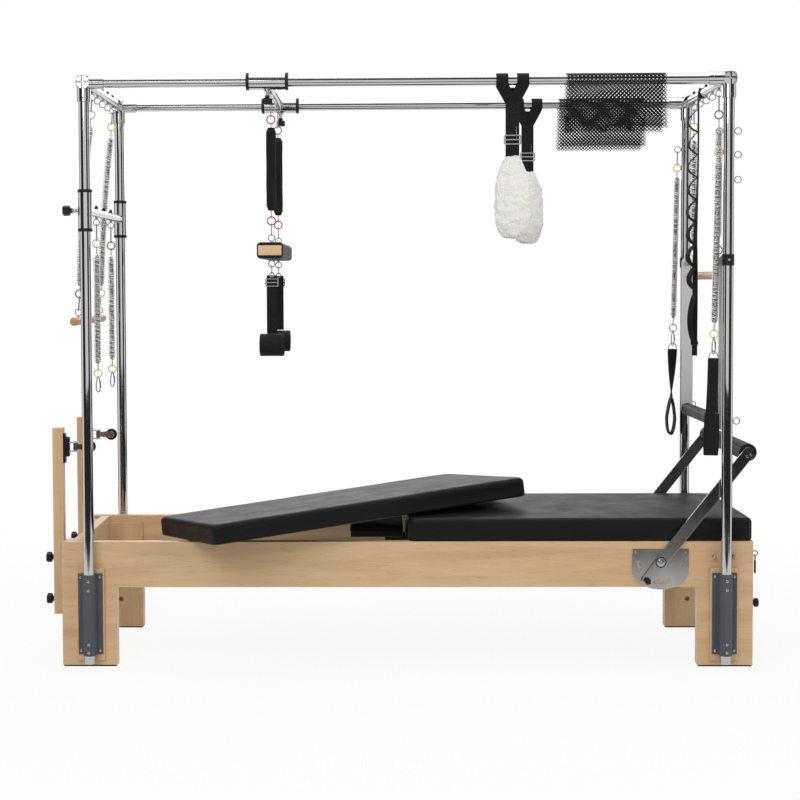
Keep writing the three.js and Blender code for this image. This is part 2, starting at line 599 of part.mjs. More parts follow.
// A hook under the coil, a ring, and a link down to a given depth
function lowerChain(coilDepth, ringDepth, endDepth) {
  return [
    rod(spring.wire, [0, 0, -coilDepth + spring.wire], [0, 0, -ringDepth + chainRing.radius], count.bolt),
    ring(chainRing.radius, chainRing.wire, [0, 0, -ringDepth]),
    longLink(ringDepth + chainRing.radius - link.wire, endDepth),
  ];
}

// An eye on top of a bar, given the depth of the bar's axis and its radius; the link hangs in it
function barEye(y, axisDepth, radius) {
  const centre = -axisDepth + radius + eye.radius + eye.wire + eye.inset;
  return [
    ring(eye.radius, eye.wire, [0, y, centre], { steps: count.eye }),
    rod(eye.shank, [0, y, centre - eye.radius], [0, y, -axisDepth + radius - eye.inset], count.bolt),
  ];
}
function hookDepth(axisDepth, radius) {
  const centre = axisDepth - radius - eye.radius - eye.wire - eye.inset;
  return centre - eyeFlat + linkWire;
}

function makeLeftSprings() {
  const lean = [0, THREE.MathUtils.degToRad(leftUpper.lean), 0, 'XYZ'];
  const top = topRail.z - eyeDrop;
  const u = leftUpper;
  const l = leftLower;
  eachSide((name, sy) => {
    const upper = join(upperChain(u.ring, u.coilTop), coilBetween(u.coilTop, u.coilBottom, u.curls),
      lowerChain(u.coilBottom, u.lowRing, hookDepth(u.drop + dowel.radius, dowel.radius)));
    place(`left_upper_spring_${name}`, upper, chrome, { position: [-postX, sy * u.spread, top], rotation: lean });
    const lower = join(upperChain(l.ring, l.coilTop), coilBetween(l.coilTop, l.coilBottom, l.curls),
      lowerChain(l.coilBottom, l.lowRing, l.end));
    place(`left_lower_spring_${name}`, lower, chrome, { position: [-postX, sy * l.spread, midBarZ - eyeDrop] });
  });
  const depth = u.drop + dowel.radius;
  const bar = join(rod(dowel.radius, [0, -dowelHalf, -depth], [0, dowelHalf, -depth], count.tube),
    [-1, 1].map((side) => barEye(side * u.spread, depth, dowel.radius)));
  place('roll_down_bar', bar, maple, { position: [-postX, 0, top], rotation: lean });
}

function makeRightSprings() {
  const u = rightUpper;
  const l = rightLower;
  const top = topRail.z - eyeDrop;
  const depth = u.drop + 2 * dowel.radius;
  eachSide((name, sy) => {
    const upper = join(upperChain(u.ring, u.coilTop), coilBetween(u.coilTop, u.coilBottom, u.curls),
      lowerChain(u.coilBottom, u.lowRing, hookDepth(depth, dowel.radius)));
    place(`right_upper_spring_${name}`, upper, chrome, { position: [postX, sy * u.spread, top] });
    const group = new THREE.Group();
    group.position.set(postX - post.radius - eye.radius - eye.wire, sy * postY, topRail.z - postEye.drops[0]);
    group.rotation.y = THREE.MathUtils.degToRad(l.lean);
    root.add(group);
    const lower = join(upperChain(l.ring, l.coilTop), coilBetween(l.coilTop, l.coilBottom, l.curls),
      lowerChain(l.coilBottom, l.lowRing, l.drop));
    place(`right_lower_spring_${name}`, lower, chrome, { parent: group });
    place(`handle_strap_${name}`, handleStrap(sy < 0), webbing, { parent: group });
  });
  const bar = join(rod(dowel.radius, [0, -dowelHalf, -depth], [0, dowelHalf, -depth], count.tube),
    [-1, 1].map((side) => barEye(side * u.spread, depth, dowel.radius)));
  place('hand_bar', bar, maple, { position: [postX, 0, top] });
}

// A ring, a strap and a hand loop; the near loop shows its flat side, the far one its hole
function handleStrap(flatToViewer) {
  const ringFlat = (chainRing.radius - link.wire * wireInner) * Math.cos(Math.PI / count.ring);
  const ringCentre = rightLower.drop - linkWire - seat.gap + ringFlat;
  const from = -ringCentre - chainRing.radius + chainRing.wire;
  const end = from - handle.length;
  const width = flatToViewer ? handle.nearWidth : handle.farWidth;
  const depth = flatToViewer ? handle.nearDepth : handle.farDepth;
  const middle = end + handle.loop / 2;
  const outline = (inset) => [
    ...arc(0, middle + handle.loop / 2 - depth / 2, depth / 2 - inset, 0, 180, count.grip),
    ...arc(0, end + depth / 2, depth / 2 - inset, 180, 360, count.grip),
  ];
  const band = plate(outline(0), -width / 2, width / 2, { holes: [outline(handle.wall)], alongX: flatToViewer });
  const tail = end + handle.loop - handle.wall / 2;
  const strap = flatToViewer
    ? box(-handle.strap / 2, handle.strap / 2, -handle.thick / 2, handle.thick / 2, tail, from)
    : box(-handle.thick / 2, handle.thick / 2, -handle.strap / 2, handle.strap / 2, tail, from);
  return join(ring(chainRing.radius, link.wire, [0, 0, -ringCentre]), strap, band);
}

// Trapeze: two sleeved springs, a padded bar and a cuff under each end
function makeTrapeze() {
  const top = topRail.z - eyeDrop;
  const t = trapezeSpring;
  const barTop = trapezeBar.height / 2;
  const depth = t.drop + eye.radius + barTop + eye.inset;
  eachSide((name, sy) => {
    const position = [sliderX, sy * slider.eyeSpread, top];
    const chain = join(upperChain(t.ring, t.top), rod(spring.sleeve, [0, 0, -t.top], [0, 0, -t.bottom], count.tube),
      lowerChain(t.bottom, t.lowRing, hookDepth(depth, barTop)));
    place(`trapeze_spring_${name}`, chain, webbing, { position });
    makeCuff(name, sliderX, sy * slider.eyeSpread, top - depth - barTop);
  });
  const half = trapezeBar.length / 2;
  const pad = loop(trapezeBar.width, trapezeBar.height, trapezeBar.edge, 0, 0).map(([x, z]) => [x, z - depth]);
  const core = box(-trapezeBar.coreWidth / 2, trapezeBar.coreWidth / 2, -half - trapezeBar.coreOut, half + trapezeBar.coreOut,
    -depth - trapezeBar.coreHeight / 2, -depth + trapezeBar.coreHeight / 2);
  const eyes = [-1, 1].flatMap((side) => {
    const y = side * slider.eyeSpread;
    const low = -depth - barTop - eye.radius - eye.wire - eye.inset;
    return [...barEye(y, depth, barTop), ring(eye.radius, eye.wire, [0, y, low], { steps: count.eye }),
      rod(eye.shank, [0, y, low + eye.radius], [0, y, -depth - barTop + eye.inset], count.bolt)];
  });
  place('trapeze_bar', join(plate(pad, -half, half), core, eyes), vinyl, { position: [sliderX, 0, top] });
}

// A webbing strap from the eye under the bar to an open cuff
function makeCuff(name, x, y, underside) {
  const eyeCentre = underside - eye.radius - eye.wire - eye.inset;
  const hook = longLink(linkTop, linkTop + cuff.hook);
  const strapTop = -linkTop - cuff.hook + link.wire;
  const cuffTop = -cuff.drop + cuff.height;
  const strap = box(-cuff.strap / 2, cuff.strap / 2, -cuff.strapThick / 2, cuff.strapThick / 2, cuffTop - cuff.wall / 2, strapTop);
  const middle = cuffTop + (strapTop - cuffTop) / 2;
  const buckle = box(-cuff.strap / 2 - eye.inset, cuff.strap / 2 + eye.inset, -cuff.strapThick, cuff.strapThick,
    middle, middle + cuff.buckle);
  const oval = (inset) => arc(0, cuffTop - cuff.height / 2, cuff.depth / 2 - inset, 0, 360 - 360 / count.loop, count.loop - 1,
    (cuff.height / 2 - inset) / (cuff.depth / 2 - inset));
  const band = plate(oval(0), -cuff.length / 2, cuff.length / 2, { holes: [oval(cuff.wall)], alongX: true });
  place(`cuff_${name}`, join(hook, strap, buckle, band), webbing, { position: [x, y, eyeCentre] });
}

// A strap looped over the top rail in a V, a buckle and a fleece loop that is open along X
function makeFuzzyLoops() {
  const inner = turningRadius(post.radius, count.tube);
  const outer = inner + fuzzy.thick;
  const half = Math.PI / count.tube;
  eachSide((name, sy) => {
    const x = halfLength - (sy < 0 ? fuzzy.nearInset : fuzzy.farInset);
    const hook = (at) => cut(rod(outer, [at - fuzzy.band / 2, 0, 0], [at + fuzzy.band / 2, 0, 0], count.tube, half),
      rod(inner, [at - fuzzy.band, 0, 0], [at + fuzzy.band, 0, 0], count.tube, half));
    const buckleTop = -fuzzy.buckleDrop + fuzzy.buckleHeight / 2;
    const leg = (side) => {
      const at = side * fuzzy.spread;
      const [outX, inX] = [at - fuzzy.band / 2, at + fuzzy.band / 2];
      const points = [[outX, -inner - fuzzy.thick / 2], [-fuzzy.strap / 2, buckleTop - fuzzy.thick], [fuzzy.strap / 2, buckleTop - fuzzy.thick],
        [inX, -inner - fuzzy.thick / 2]];
      return plate(points, -fuzzy.thick, fuzzy.thick);
    };
    const neck = box(-fuzzy.strap / 2, fuzzy.strap / 2, -fuzzy.thick, fuzzy.thick, -fuzzy.drop - fuzzy.wall / 2, buckleTop);
    const buckle = box(-fuzzy.strap / 2 - fuzzy.thick, fuzzy.strap / 2 + fuzzy.thick, -fuzzy.buckleDepth / 2, fuzzy.buckleDepth / 2,
      buckleTop - fuzzy.buckleHeight, buckleTop);
    const middle = -(fuzzy.drop + fuzzy.lowDrop) / 2;
    const drop = (inset) => arc(0, middle, fuzzy.depth / 2 - inset, 0, 360 - 360 / count.loop, count.loop - 1,
      ((fuzzy.lowDrop - fuzzy.drop) / 2 - inset) / (fuzzy.depth / 2 - inset));
    const band = plate(drop(0), -fuzzy.width / 2, fuzzy.width / 2, { holes: [drop(fuzzy.wall)], alongX: true });
    place(`fuzzy_loop_${name}`, join(hook(-fuzzy.spread), hook(fuzzy.spread), leg(-1), leg(1), neck, buckle, band), fleece,
      { position: [x, sy * postY, topRail.z] });
  });
}

// A non-slip mesh sheet folded over each top rail
function makeMeshPads() {
  const inner = bore;
  const outer = bore + meshPad.thick;
  eachSide((name, sy) => {
    const [inset, length] = sy < 0 ? [meshPad.nearInset, meshPad.nearLength] : [meshPad.farInset, meshPad.farLength];
    const outline = [
      ...arc(0, 0, outer, 0, 180, count.bend), [-outer, -meshPad.frontDrop], [-inner, -meshPad.frontDrop],
      ...arc(0, 0, inner, 180, 0, count.bend), [inner, -meshPad.backDrop], [outer, -meshPad.backDrop],
    ];
    const sheet = plate(outline, -length / 2, length / 2, { alongX: true });
    place(`mesh_pad_${name}`, sheet, webbing, { position: [halfLength - inset - length / 2, sy * postY, topRail.z] });
  });
}

// A daisy-chain strap round the right top bar, its loops bulging towards the bed
function makeDaisyStrap() {
  const inner = turningRadius(crossTube.radius, count.tube);
  const outer = inner + daisy.thick;
  const half = Math.PI / count.tube;
  const collar = cut(rod(outer, [0, -daisy.width / 2, 0], [0, daisy.width / 2, 0], count.tube, half),
    rod(inner, [0, -daisy.width, 0], [0, daisy.width, 0], count.tube, half));
  const strap = box(-outer, -inner, -daisy.width / 2, daisy.width / 2, -daisy.length, 0);
  const bulge = (from, to, out) => {
    const squash = (to - from) / 2 / out;
    const at = (from + to) / 2;
    const hole = arc(-inner - daisy.thick / 2, -at, out - daisy.thick, 90, 270, count.arc, (squash * out - daisy.thick) / (out - daisy.thick));
    return plate([...arc(-inner - daisy.thick / 2, -at, out, 90, 270, count.arc, squash), ...hole.reverse()], -daisy.width / 2, daisy.width / 2);
  };
  const scallops = Array.from({ length: daisy.scallops }, (_, i) => bulge(daisy.startDrop + i * daisy.spacing, daisy.startDrop + (i + 1) * daisy.spacing, daisy.bulge));
  const low = bulge(daisy.loopTop, daisy.loopBottom, daisy.loopBulge);
  place('daisy_strap', join(collar, strap, scallops, low), webbing, { position: [postX, daisy.y, topRail.z] });
}

// Push-through bar: two flat arms from the right posts and a padded cross piece
function makePushBar() {
  const drop = pushBar.rollerZ - pushZ;
  const pieces = [rod(pushBar.core, [0, -pushInner - pushBar.thick, drop], [0, pushInner + pushBar.thick, drop], count.tube)];
  for (const side of [-1, 1]) {
    const faces = [side * pushInner, side * (pushInner + pushBar.thick)].sort((a, b) => a - b);
    const hole = circle(pushBar.stud + seat.gap);
    pieces.push(plate(stadium(0, drop, 0, 0, pushBar.width), ...faces, { holes: [hole] }));
  }
  const position = [postX, 0, pushZ];
  place('push_through_bar', join(pieces), steel, { position });
  const pad = cut(rod(pushBar.roller, [0, -pushInner + seat.gap, drop], [0, pushInner - seat.gap, drop], count.tube),
    rod(pushBar.core + seat.gap, [0, -pushInner, drop], [0, pushInner, drop], count.tube));
  place('push_through_pad', pad, vinyl, { position });
}

// Foot bar: two flat arms on the rail plates, a lock knob at each low end and a padded cross piece
function makeFootBar() {
  const f = footBar;
  const at = (inset, z) => [f.pivotInset - inset, z - f.pivotZ];
  const [topX, topZ] = at(f.rollerInset, f.rollerZ);
  const [lowX, lowZ] = at(f.lowInset, f.lowZ);
  const pieces = [rod(f.core, [topX, -footInner - f.thick, topZ], [topX, footInner + f.thick, topZ], count.tube)];
  for (const side of [-1, 1]) {
    const faces = [side * footInner, side * (footInner + f.thick)].sort((a, b) => a - b);
    const hole = circle(f.pin + seat.gap);
    const upper = plate(stadium(0, 0, topX, topZ, f.width), ...faces);
    const lower = plate(stadium(lowX, lowZ, 0, 0, f.width), ...faces);
    const bolt = plate(hole, faces[0] - seat.overrun, faces[1] + seat.overrun);
    pieces.push(cut(join(upper, lower), bolt));
    const face = side * (footInner + f.thick - seat.gap);
    pieces.push(rod(f.knob, [lowX, face, lowZ], [lowX, face + side * f.knobLength, lowZ], count.tube));
    for (const turn of [-1, 1]) {
      const [bx, bz] = [topX + turn * f.boltSpread, topZ - f.width / 4 + turn * f.boltSpread / 2];
      pieces.push(rod(f.boltSpread / 2, [bx, face, bz], [bx, face + side * f.pinHeadHeight, bz], count.bolt));
    }
  }
  const position = [pivotX, 0, f.pivotZ];
  place('foot_bar', join(pieces), steel, { position });
  const end = footInner - seat.gap;
  const pad = cut(rod(f.roller, [topX, -end, topZ], [topX, end, topZ], count.tube),
    rod(f.core + seat.gap, [topX, -footInner, topZ], [topX, footInner, topZ], count.tube));
  place('foot_bar_pad', pad, vinyl, { position });
}

// The slotted steel plate on each rail, with the pin that the foot bar turns on
function makeFootPlates() {
  const p = footPlate;
  const f = footBar;
  const right = halfLength - p.inset;
  const half = p.length / 2;
  const middle = right - half;
  const outline = [[right, p.top], [right - p.length, p.top], ...arc(middle, p.shoulder, half, 180, 360, count.dish, (p.shoulder - p.bottom) / half)];
  const slot = (radius, from, to) => [
    ...arc(pivotX, f.pivotZ, radius + p.slotWidth / 2, from, to, count.slot),
    ...arc(pivotX, f.pivotZ, radius - p.slotWidth / 2, to, from, count.slot),
  ];
  eachSide((name, sy) => {
    const faces = [sy * (halfWidth + seat.gap), sy * (halfWidth + seat.gap + p.thick)].sort((a, b) => a - b);
    const sheet = plate(outline, ...faces, {
      holes: [slot(p.outerSlot, p.outerFrom, p.outerTo), slot(p.innerSlot, p.innerFrom, p.innerTo)],
    });
    const out = sy * (footInner + f.thick + seat.gap);
    const pin = rod(f.pin, [pivotX, sy * (halfWidth + p.thick / 2), f.pivotZ], [pivotX, out, f.pivotZ]);
    const head = rod(f.pinHead, [pivotX, out, f.pivotZ], [pivotX, out + sy * f.pinHeadHeight, f.pivotZ], count.bolt);
    place(`foot_plate_${name}`, join(sheet, pin, head), steel);
  });
}

// Carriage on two axles that run on the ledges inside the rails
function makeCarriage() {
  const c = carriage;
  const axleZ = track.top + wheel.radius + seat.gap;
  const blockY = carriageHalf - c.block / 2;
  const axles = [carriageLeft + wheel.inset, carriageLeft + c.length - wheel.inset];
  const blocks = axles.flatMap((x) => [-1, 1].map((side) => cut(
    box(x - c.block / 2, x + c.block / 2, side * blockY - c.block / 2, side * blockY + c.block / 2,
      axleZ - wheel.axle - seat.overrun, c.boardBottom + seat.overrun),
    turningHole(wheel.axle, [x, side * blockY - c.block, axleZ], [x, side * blockY + c.block, axleZ]))));
  const board = box(carriageLeft, carriageLeft + c.length, -carriageHalf, carriageHalf, c.boardBottom, c.boardBottom + c.boardThick);
  place('carriage_board', join(board, blocks, headrestArms()), maple);
  const padZ = c.boardBottom + c.boardThick + seat.gap;
  const pad = box(-c.length / 2, c.length / 2, -carriageHalf, carriageHalf, 0, c.padThick);
  place('carriage_pad', pad, vinyl, { position: [carriageLeft + c.length / 2, 0, padZ] });
  axles.forEach((x, i) => {
    const ends = [-1, 1].map((side) => rod(wheel.radius, [0, side * (wheelOut - wheel.width), 0], [0, side * wheelOut, 0], count.tube));
    place(`carriage_wheels_${i ? 'right' : 'left'}`, join(rod(wheel.axle, [0, -wheelOut, 0], [0, wheelOut, 0]), ends), plastic,
      { position: [x, 0, axleZ] });
  });
}

// Where the headrest is hinged, over the left edge of the carriage board
const armLeft = carriageLeft - headrest.armReach;
const hinge = { x: armLeft + headrest.armGrip, z: headrest.boardBottom - headrest.armThick - headrest.pin };

// Two arms with a pin between them, under the headrest
function headrestArms() {
  const h = headrest;
  const z0 = carriage.boardBottom;
  const outer = h.armWidth + h.armThick;
  const z1 = z0 + carriage.boardThick;
  const arms = [-1, 1].flatMap((side) => [
    box(armLeft, carriageLeft - seat.gap, side * h.armWidth, side * outer, z0, hinge.z + h.pin + seat.gap),
    box(armLeft, carriageLeft + seat.overrun, side * h.armWidth, side * outer, z0, z1),
  ]);
  return [...arms, rod(h.pin, [hinge.x, -outer, hinge.z], [hinge.x, outer, hinge.z])];
}

function makeHeadrest() {
  const h = headrest;
  const board = box(carriageLeft - h.clear - h.length, carriageLeft - h.clear, -h.halfWidth, h.halfWidth, h.boardBottom, h.boardBottom + h.boardThick);
  const lugHalf = h.armWidth - seat.slip;
  const lug = box(hinge.x - 2 * h.pin, hinge.x + 2 * h.pin, -lugHalf, lugHalf, hinge.z - 2 * h.pin, h.boardBottom + seat.overrun);
  const hole = turningHole(h.pin, [hinge.x, -h.armWidth - seat.overrun, hinge.z], [hinge.x, h.armWidth + seat.overrun, hinge.z]);
  const padBottom = h.boardBottom + h.boardThick;
  const pad = box(carriageLeft - h.clear - h.length, carriageLeft - h.clear, -h.halfWidth, h.halfWidth, padBottom, padBottom + h.padThick);
  const body = cut(join(board, lug, pad), hole).translate([-hinge.x, 0, -hinge.z]);
  place('headrest', body, vinyl, { position: [hinge.x, 0, hinge.z] });
}

// Two loose mats: one lies on the rails, the other askew on the near rail and on the first
function makeMats() {
  const l = leftMat;
  const r = rightMat;
  const turn = new THREE.Euler(l.roll, -l.tip, l.yaw, 'ZYX');
  const matrix = new THREE.Matrix4().makeRotationFromEuler(turn);
  const touchY = -(halfWidth - bed.railThick);
  const edge = new THREE.Vector3(l.foot, 0, 0).applyMatrix4(matrix);
  const along = new THREE.Vector3(0, 1, 0).applyMatrix4(matrix);
  const [x, y] = [l.fromLeft - halfLength, -halfWidth - l.outside];
  const reach = (touchY - y - edge.y) / along.y;
  const z = bed.railTop + seat.gap - edge.z - along.z * reach;
  const position = [x, y, z];
  const rotation = [l.roll, -l.tip, l.yaw, 'ZYX'];
  const body = cushion(l.length, l.width, l).translate([l.length / 2, l.width / 2, 0]);
  place('left_mat', body, vinyl, { position, rotation });

  const pressed = box(-seat.gap, l.length + seat.gap, -seat.gap, l.width + seat.gap, -seat.gap, l.thick + r.thick);
  const placed = pressed.transform(matrix.clone().setPosition(...position).toArray());
  const centre = [halfLength - r.length / 2, 0, bed.railTop + seat.gap];
  const flat = cushion(r.length, bed.width, r).translate(centre);
  place('right_mat', cut(flat, placed).translate(centre.map((value) => -value)), vinyl, { position: centre });
}

eachSide(makeSideRail);
makeEndBoards();
makeRisers();
makePosts();
makeTopRails();
makeTopBars();
makeMidBar();
makeSlider();
makeLeftSprings();
makeRightSprings();
makeTrapeze();
makeFuzzyLoops();
makeMeshPads();
makeDaisyStrap();
makePushBar();
makeFootBar();
makeFootPlates();
makeCarriage();
makeHeadrest();
makeMats();

// The origin goes to the centre of the bottom of the whole object's bounding box
root.updateMatrixWorld(true);
const bounds = new THREE.Box3().setFromObject(root, true);
const middle = bounds.getCenter(new THREE.Vector3());
root.position.set(-middle.x, -middle.y, -bounds.min.z);
console.log(`least gap of a coil to itself: ${Math.min(...coilGaps).toFixed(2)} mm`);
console.log(`moved by ${root.position.toArray().map((value) => value.toFixed(3)).join(', ')} mm`);

export default root;
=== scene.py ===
# %% [markdown]
# # A pilates trapeze table
#
# This notebook dresses the packed CAD model of a trapeze table: a maple reformer bed under a canopy of
# chrome tubes, hung with springs, straps and a padded trapeze. The CAD model fixes every size and joint.
# Blender adds what a solid can't show: round edges, tight coils, stitched webbing, wool and wood grain.
# Most pieces ride on the CAD body that they belong to, so the model still moves.

# %% Load the CAD frame
import json
import math

import bpy
from mathutils import Matrix, Vector, noise

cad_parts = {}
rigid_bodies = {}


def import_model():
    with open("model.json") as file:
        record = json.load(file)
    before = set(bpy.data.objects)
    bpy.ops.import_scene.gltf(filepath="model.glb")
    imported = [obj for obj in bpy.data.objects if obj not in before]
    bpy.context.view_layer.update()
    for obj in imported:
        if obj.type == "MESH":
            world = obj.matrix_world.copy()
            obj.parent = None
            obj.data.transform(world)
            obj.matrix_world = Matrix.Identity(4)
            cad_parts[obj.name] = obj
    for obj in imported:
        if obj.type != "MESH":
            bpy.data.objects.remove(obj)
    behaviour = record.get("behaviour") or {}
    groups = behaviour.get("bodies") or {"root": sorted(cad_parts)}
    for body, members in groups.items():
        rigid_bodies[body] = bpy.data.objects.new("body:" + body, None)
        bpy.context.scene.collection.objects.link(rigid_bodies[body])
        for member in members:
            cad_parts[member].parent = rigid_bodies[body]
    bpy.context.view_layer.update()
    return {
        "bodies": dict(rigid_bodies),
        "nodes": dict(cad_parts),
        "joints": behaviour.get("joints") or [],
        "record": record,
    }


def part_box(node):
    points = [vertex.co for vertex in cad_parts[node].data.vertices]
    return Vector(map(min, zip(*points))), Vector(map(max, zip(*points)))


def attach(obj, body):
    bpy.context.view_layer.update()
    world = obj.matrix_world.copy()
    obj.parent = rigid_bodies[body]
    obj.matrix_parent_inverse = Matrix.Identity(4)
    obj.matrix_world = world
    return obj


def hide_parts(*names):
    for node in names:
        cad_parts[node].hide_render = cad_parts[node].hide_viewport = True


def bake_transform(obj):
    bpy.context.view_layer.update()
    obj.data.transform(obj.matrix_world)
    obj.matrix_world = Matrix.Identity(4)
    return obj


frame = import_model()

# %% [markdown]
# The table is easiest to describe from the centre of its bed, in millimetres: X along the bed, Y to the
# back and Z up. The CAD file has its origin under the middle of the whole object, so one function moves
# a point from the bed's numbers to the file's. It measures the bed's centre on the two top rails.

# %% Find the bed's centre
MM = 0.001
near_rail_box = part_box("top_rail_near")
far_rail_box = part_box("top_rail_far")
CENTRE_X = (near_rail_box[0].x + near_rail_box[1].x) / 2
CENTRE_Y = (near_rail_box[0].y + far_rail_box[1].y) / 2
SIDES = (("near", -1), ("far", 1))
ENDS = (("left", -1), ("right", 1))


def at(x, y, z):
    """A point given from the bed's centre in millimetres, as a point of the CAD frame in metres."""
    return Vector((CENTRE_X + x * MM, CENTRE_Y + y * MM, z * MM))


print("bed centre", round(CENTRE_X, 4), round(CENTRE_Y, 4))

# %% [markdown]
# ## Camera
#
# The photograph was taken with a long lens, level with the top third of the table. The camera's place was
# found by fitting the corners of the bed and the posts, so the render can be laid over the photograph.
# The small shift stands for the way the picture was cropped.

# %% Place the camera
CAMERA_PLACE = (-104, -5867, 1362)
CAMERA_YAW, CAMERA_PITCH, CAMERA_ROLL = -0.0181, 0.0421, -0.0041
LENS_MM, SENSOR_MM = 70.6, 36
SHIFT_X, SHIFT_Y = 0.0653, -0.0633


def camera_axes(yaw, pitch, roll):
    """Right, up and forward of a camera that looks along +Y before it turns."""
    forward = Vector((math.sin(yaw) * math.cos(pitch), math.cos(yaw) * math.cos(pitch), -math.sin(pitch)))
    level_right = forward.cross(Vector((0, 0, 1))).normalized()
    level_up = level_right.cross(forward)
    right = level_right * math.cos(roll) + level_up * math.sin(roll)
    return right, right.cross(forward), forward


camera_data = bpy.data.cameras.new("camera")
camera_data.lens = LENS_MM
camera_data.sensor_width = SENSOR_MM
camera_data.shift_x = SHIFT_X
camera_data.shift_y = SHIFT_Y
camera_data.clip_end = 100
camera = bpy.data.objects.new("camera", camera_data)
right, upward, forward = camera_axes(CAMERA_YAW, CAMERA_PITCH, CAMERA_ROLL)
camera_turn = Matrix((right, upward, -forward)).transposed().to_4x4()
camera.matrix_world = Matrix.Translation(at(*CAMERA_PLACE)) @ camera_turn
bpy.context.collection.objects.link(camera)
bpy.context.scene.camera = camera
print("camera", [round(v, 3) for v in camera.location], "lens", LENS_MM)

# %% [markdown]
# ## Studio
#
# Product pictures like this one are lit by large soft boxes in a white room. Four area lamps make the
# light, and the white room is drawn by the world, for rays from the camera and for reflections only.
# Chrome would vanish in a room that is white all round, so dark cards stand beside the camera, as they
# do in a real studio. They show in reflections and throw no shadow.

# %% Hang the lamps
LAMPS = (
    # name, place and aim in millimetres, size in metres, power in watts
    ("lamp_front", (-1800, -4200, 3600), (0, 0, 900), 2.6, 88),
    ("lamp_side", (3600, -2600, 2600), (300, 0, 900), 2.4, 48),
    ("lamp_back", (-600, 3600, 3300), (0, 0, 1000), 3.0, 55),
    ("lamp_top", (0, -300, 4600), (0, 0, 0), 3.4, 40),
)


def aim(obj, target):
    """Turn a lamp so that it shines at a point."""
    obj.rotation_euler = (target - obj.location).to_track_quat("-Z", "Y").to_euler()


for lamp_name, place, target, size, power in LAMPS:
    lamp_data = bpy.data.lights.new(lamp_name, "AREA")
    lamp_data.size = size
    lamp_data.energy = power
    lamp = bpy.data.objects.new(lamp_name, lamp_data)
    lamp.location = at(*place)
    aim(lamp, at(*target))
    bpy.context.collection.objects.link(lamp)
print("lamps", len(LAMPS))

# %% [markdown]
# The world is white to the camera and to glossy rays. For the light that it sheds on the object it is a
# dim grey, so that pale wood keeps its colour.

# %% Paint the world
AMBIENT = 0.36
world = bpy.data.worlds.new("studio")
world.use_nodes = True
bpy.context.scene.world = world
tree = world.node_tree
background = tree.nodes["Background"]
paths = tree.nodes.new("ShaderNodeLightPath")
seen = tree.nodes.new("ShaderNodeMath")
seen.operation = "MAXIMUM"
tree.links.new(paths.outputs["Is Camera Ray"], seen.inputs[0])
tree.links.new(paths.outputs["Is Glossy Ray"], seen.inputs[1])
strength = tree.nodes.new("ShaderNodeMapRange")
strength.inputs["To Min"].default_value = AMBIENT
strength.inputs["To Max"].default_value = 1.0
tree.links.new(seen.outputs[0], strength.inputs["Value"])
tree.links.new(strength.outputs["Result"], background.inputs["Strength"])
background.inputs["Color"].default_value = (1, 1, 1, 1)
bpy.context.scene.view_settings.view_transform = "Standard"
print("world strength", AMBIENT)

# %% [markdown]
# ## Finishes
#
# Effects that several finishes share are built once as node groups: wood grain, the fine grain of moulded
# plastic and leathercloth, woven webbing, brushed lines, uneven gloss and worn edges. A group only puts out
# colours, masks and heights. Each material places the groups that it needs and feeds them to its own shader.

# %% A helper for node groups
def new_group(name, inputs, outputs):
    """An empty shader group with named sockets: inputs and outputs are (name, type, value) rows."""
    group = bpy.data.node_groups.new(name, "ShaderNodeTree")
    for socket_name, kind, value in inputs:
        socket = group.interface.new_socket(socket_name, in_out="INPUT", socket_type=kind)
        if value is not None:
            socket.default_value = value
    for socket_name, kind in outputs:
        group.interface.new_socket(socket_name, in_out="OUTPUT", socket_type=kind)
    start = group.nodes.new("NodeGroupInput")
    end = group.nodes.new("NodeGroupOutput")
    return group, start, end


def feed(tree, node, links):
    """Link sources to a node's inputs, which are given by name or number."""
    for socket, source in links.items():
        tree.links.new(source, node.inputs[socket])


def add(tree, kind, links=None, inputs=None, **settings):
    """A shader node with its settings, the constants of its inputs and the links into it."""
    node = tree.nodes.new("ShaderNode" + kind)
    for key, value in settings.items():
        setattr(node, key, value)
    for socket, amount in (inputs or {}).items():
        node.inputs[socket].default_value = amount
    feed(tree, node, links or {})
    return node


FLOAT, COLOR, VECTOR = "NodeSocketFloat", "NodeSocketColor", "NodeSocketVector"
print("helpers for node groups ready")

# %% [markdown]
# Maple is pale, with long faint streaks and small darker flecks along the grain. The grain is a noise that is
# stretched many times along the board. The group takes a position, so each board can turn its grain.

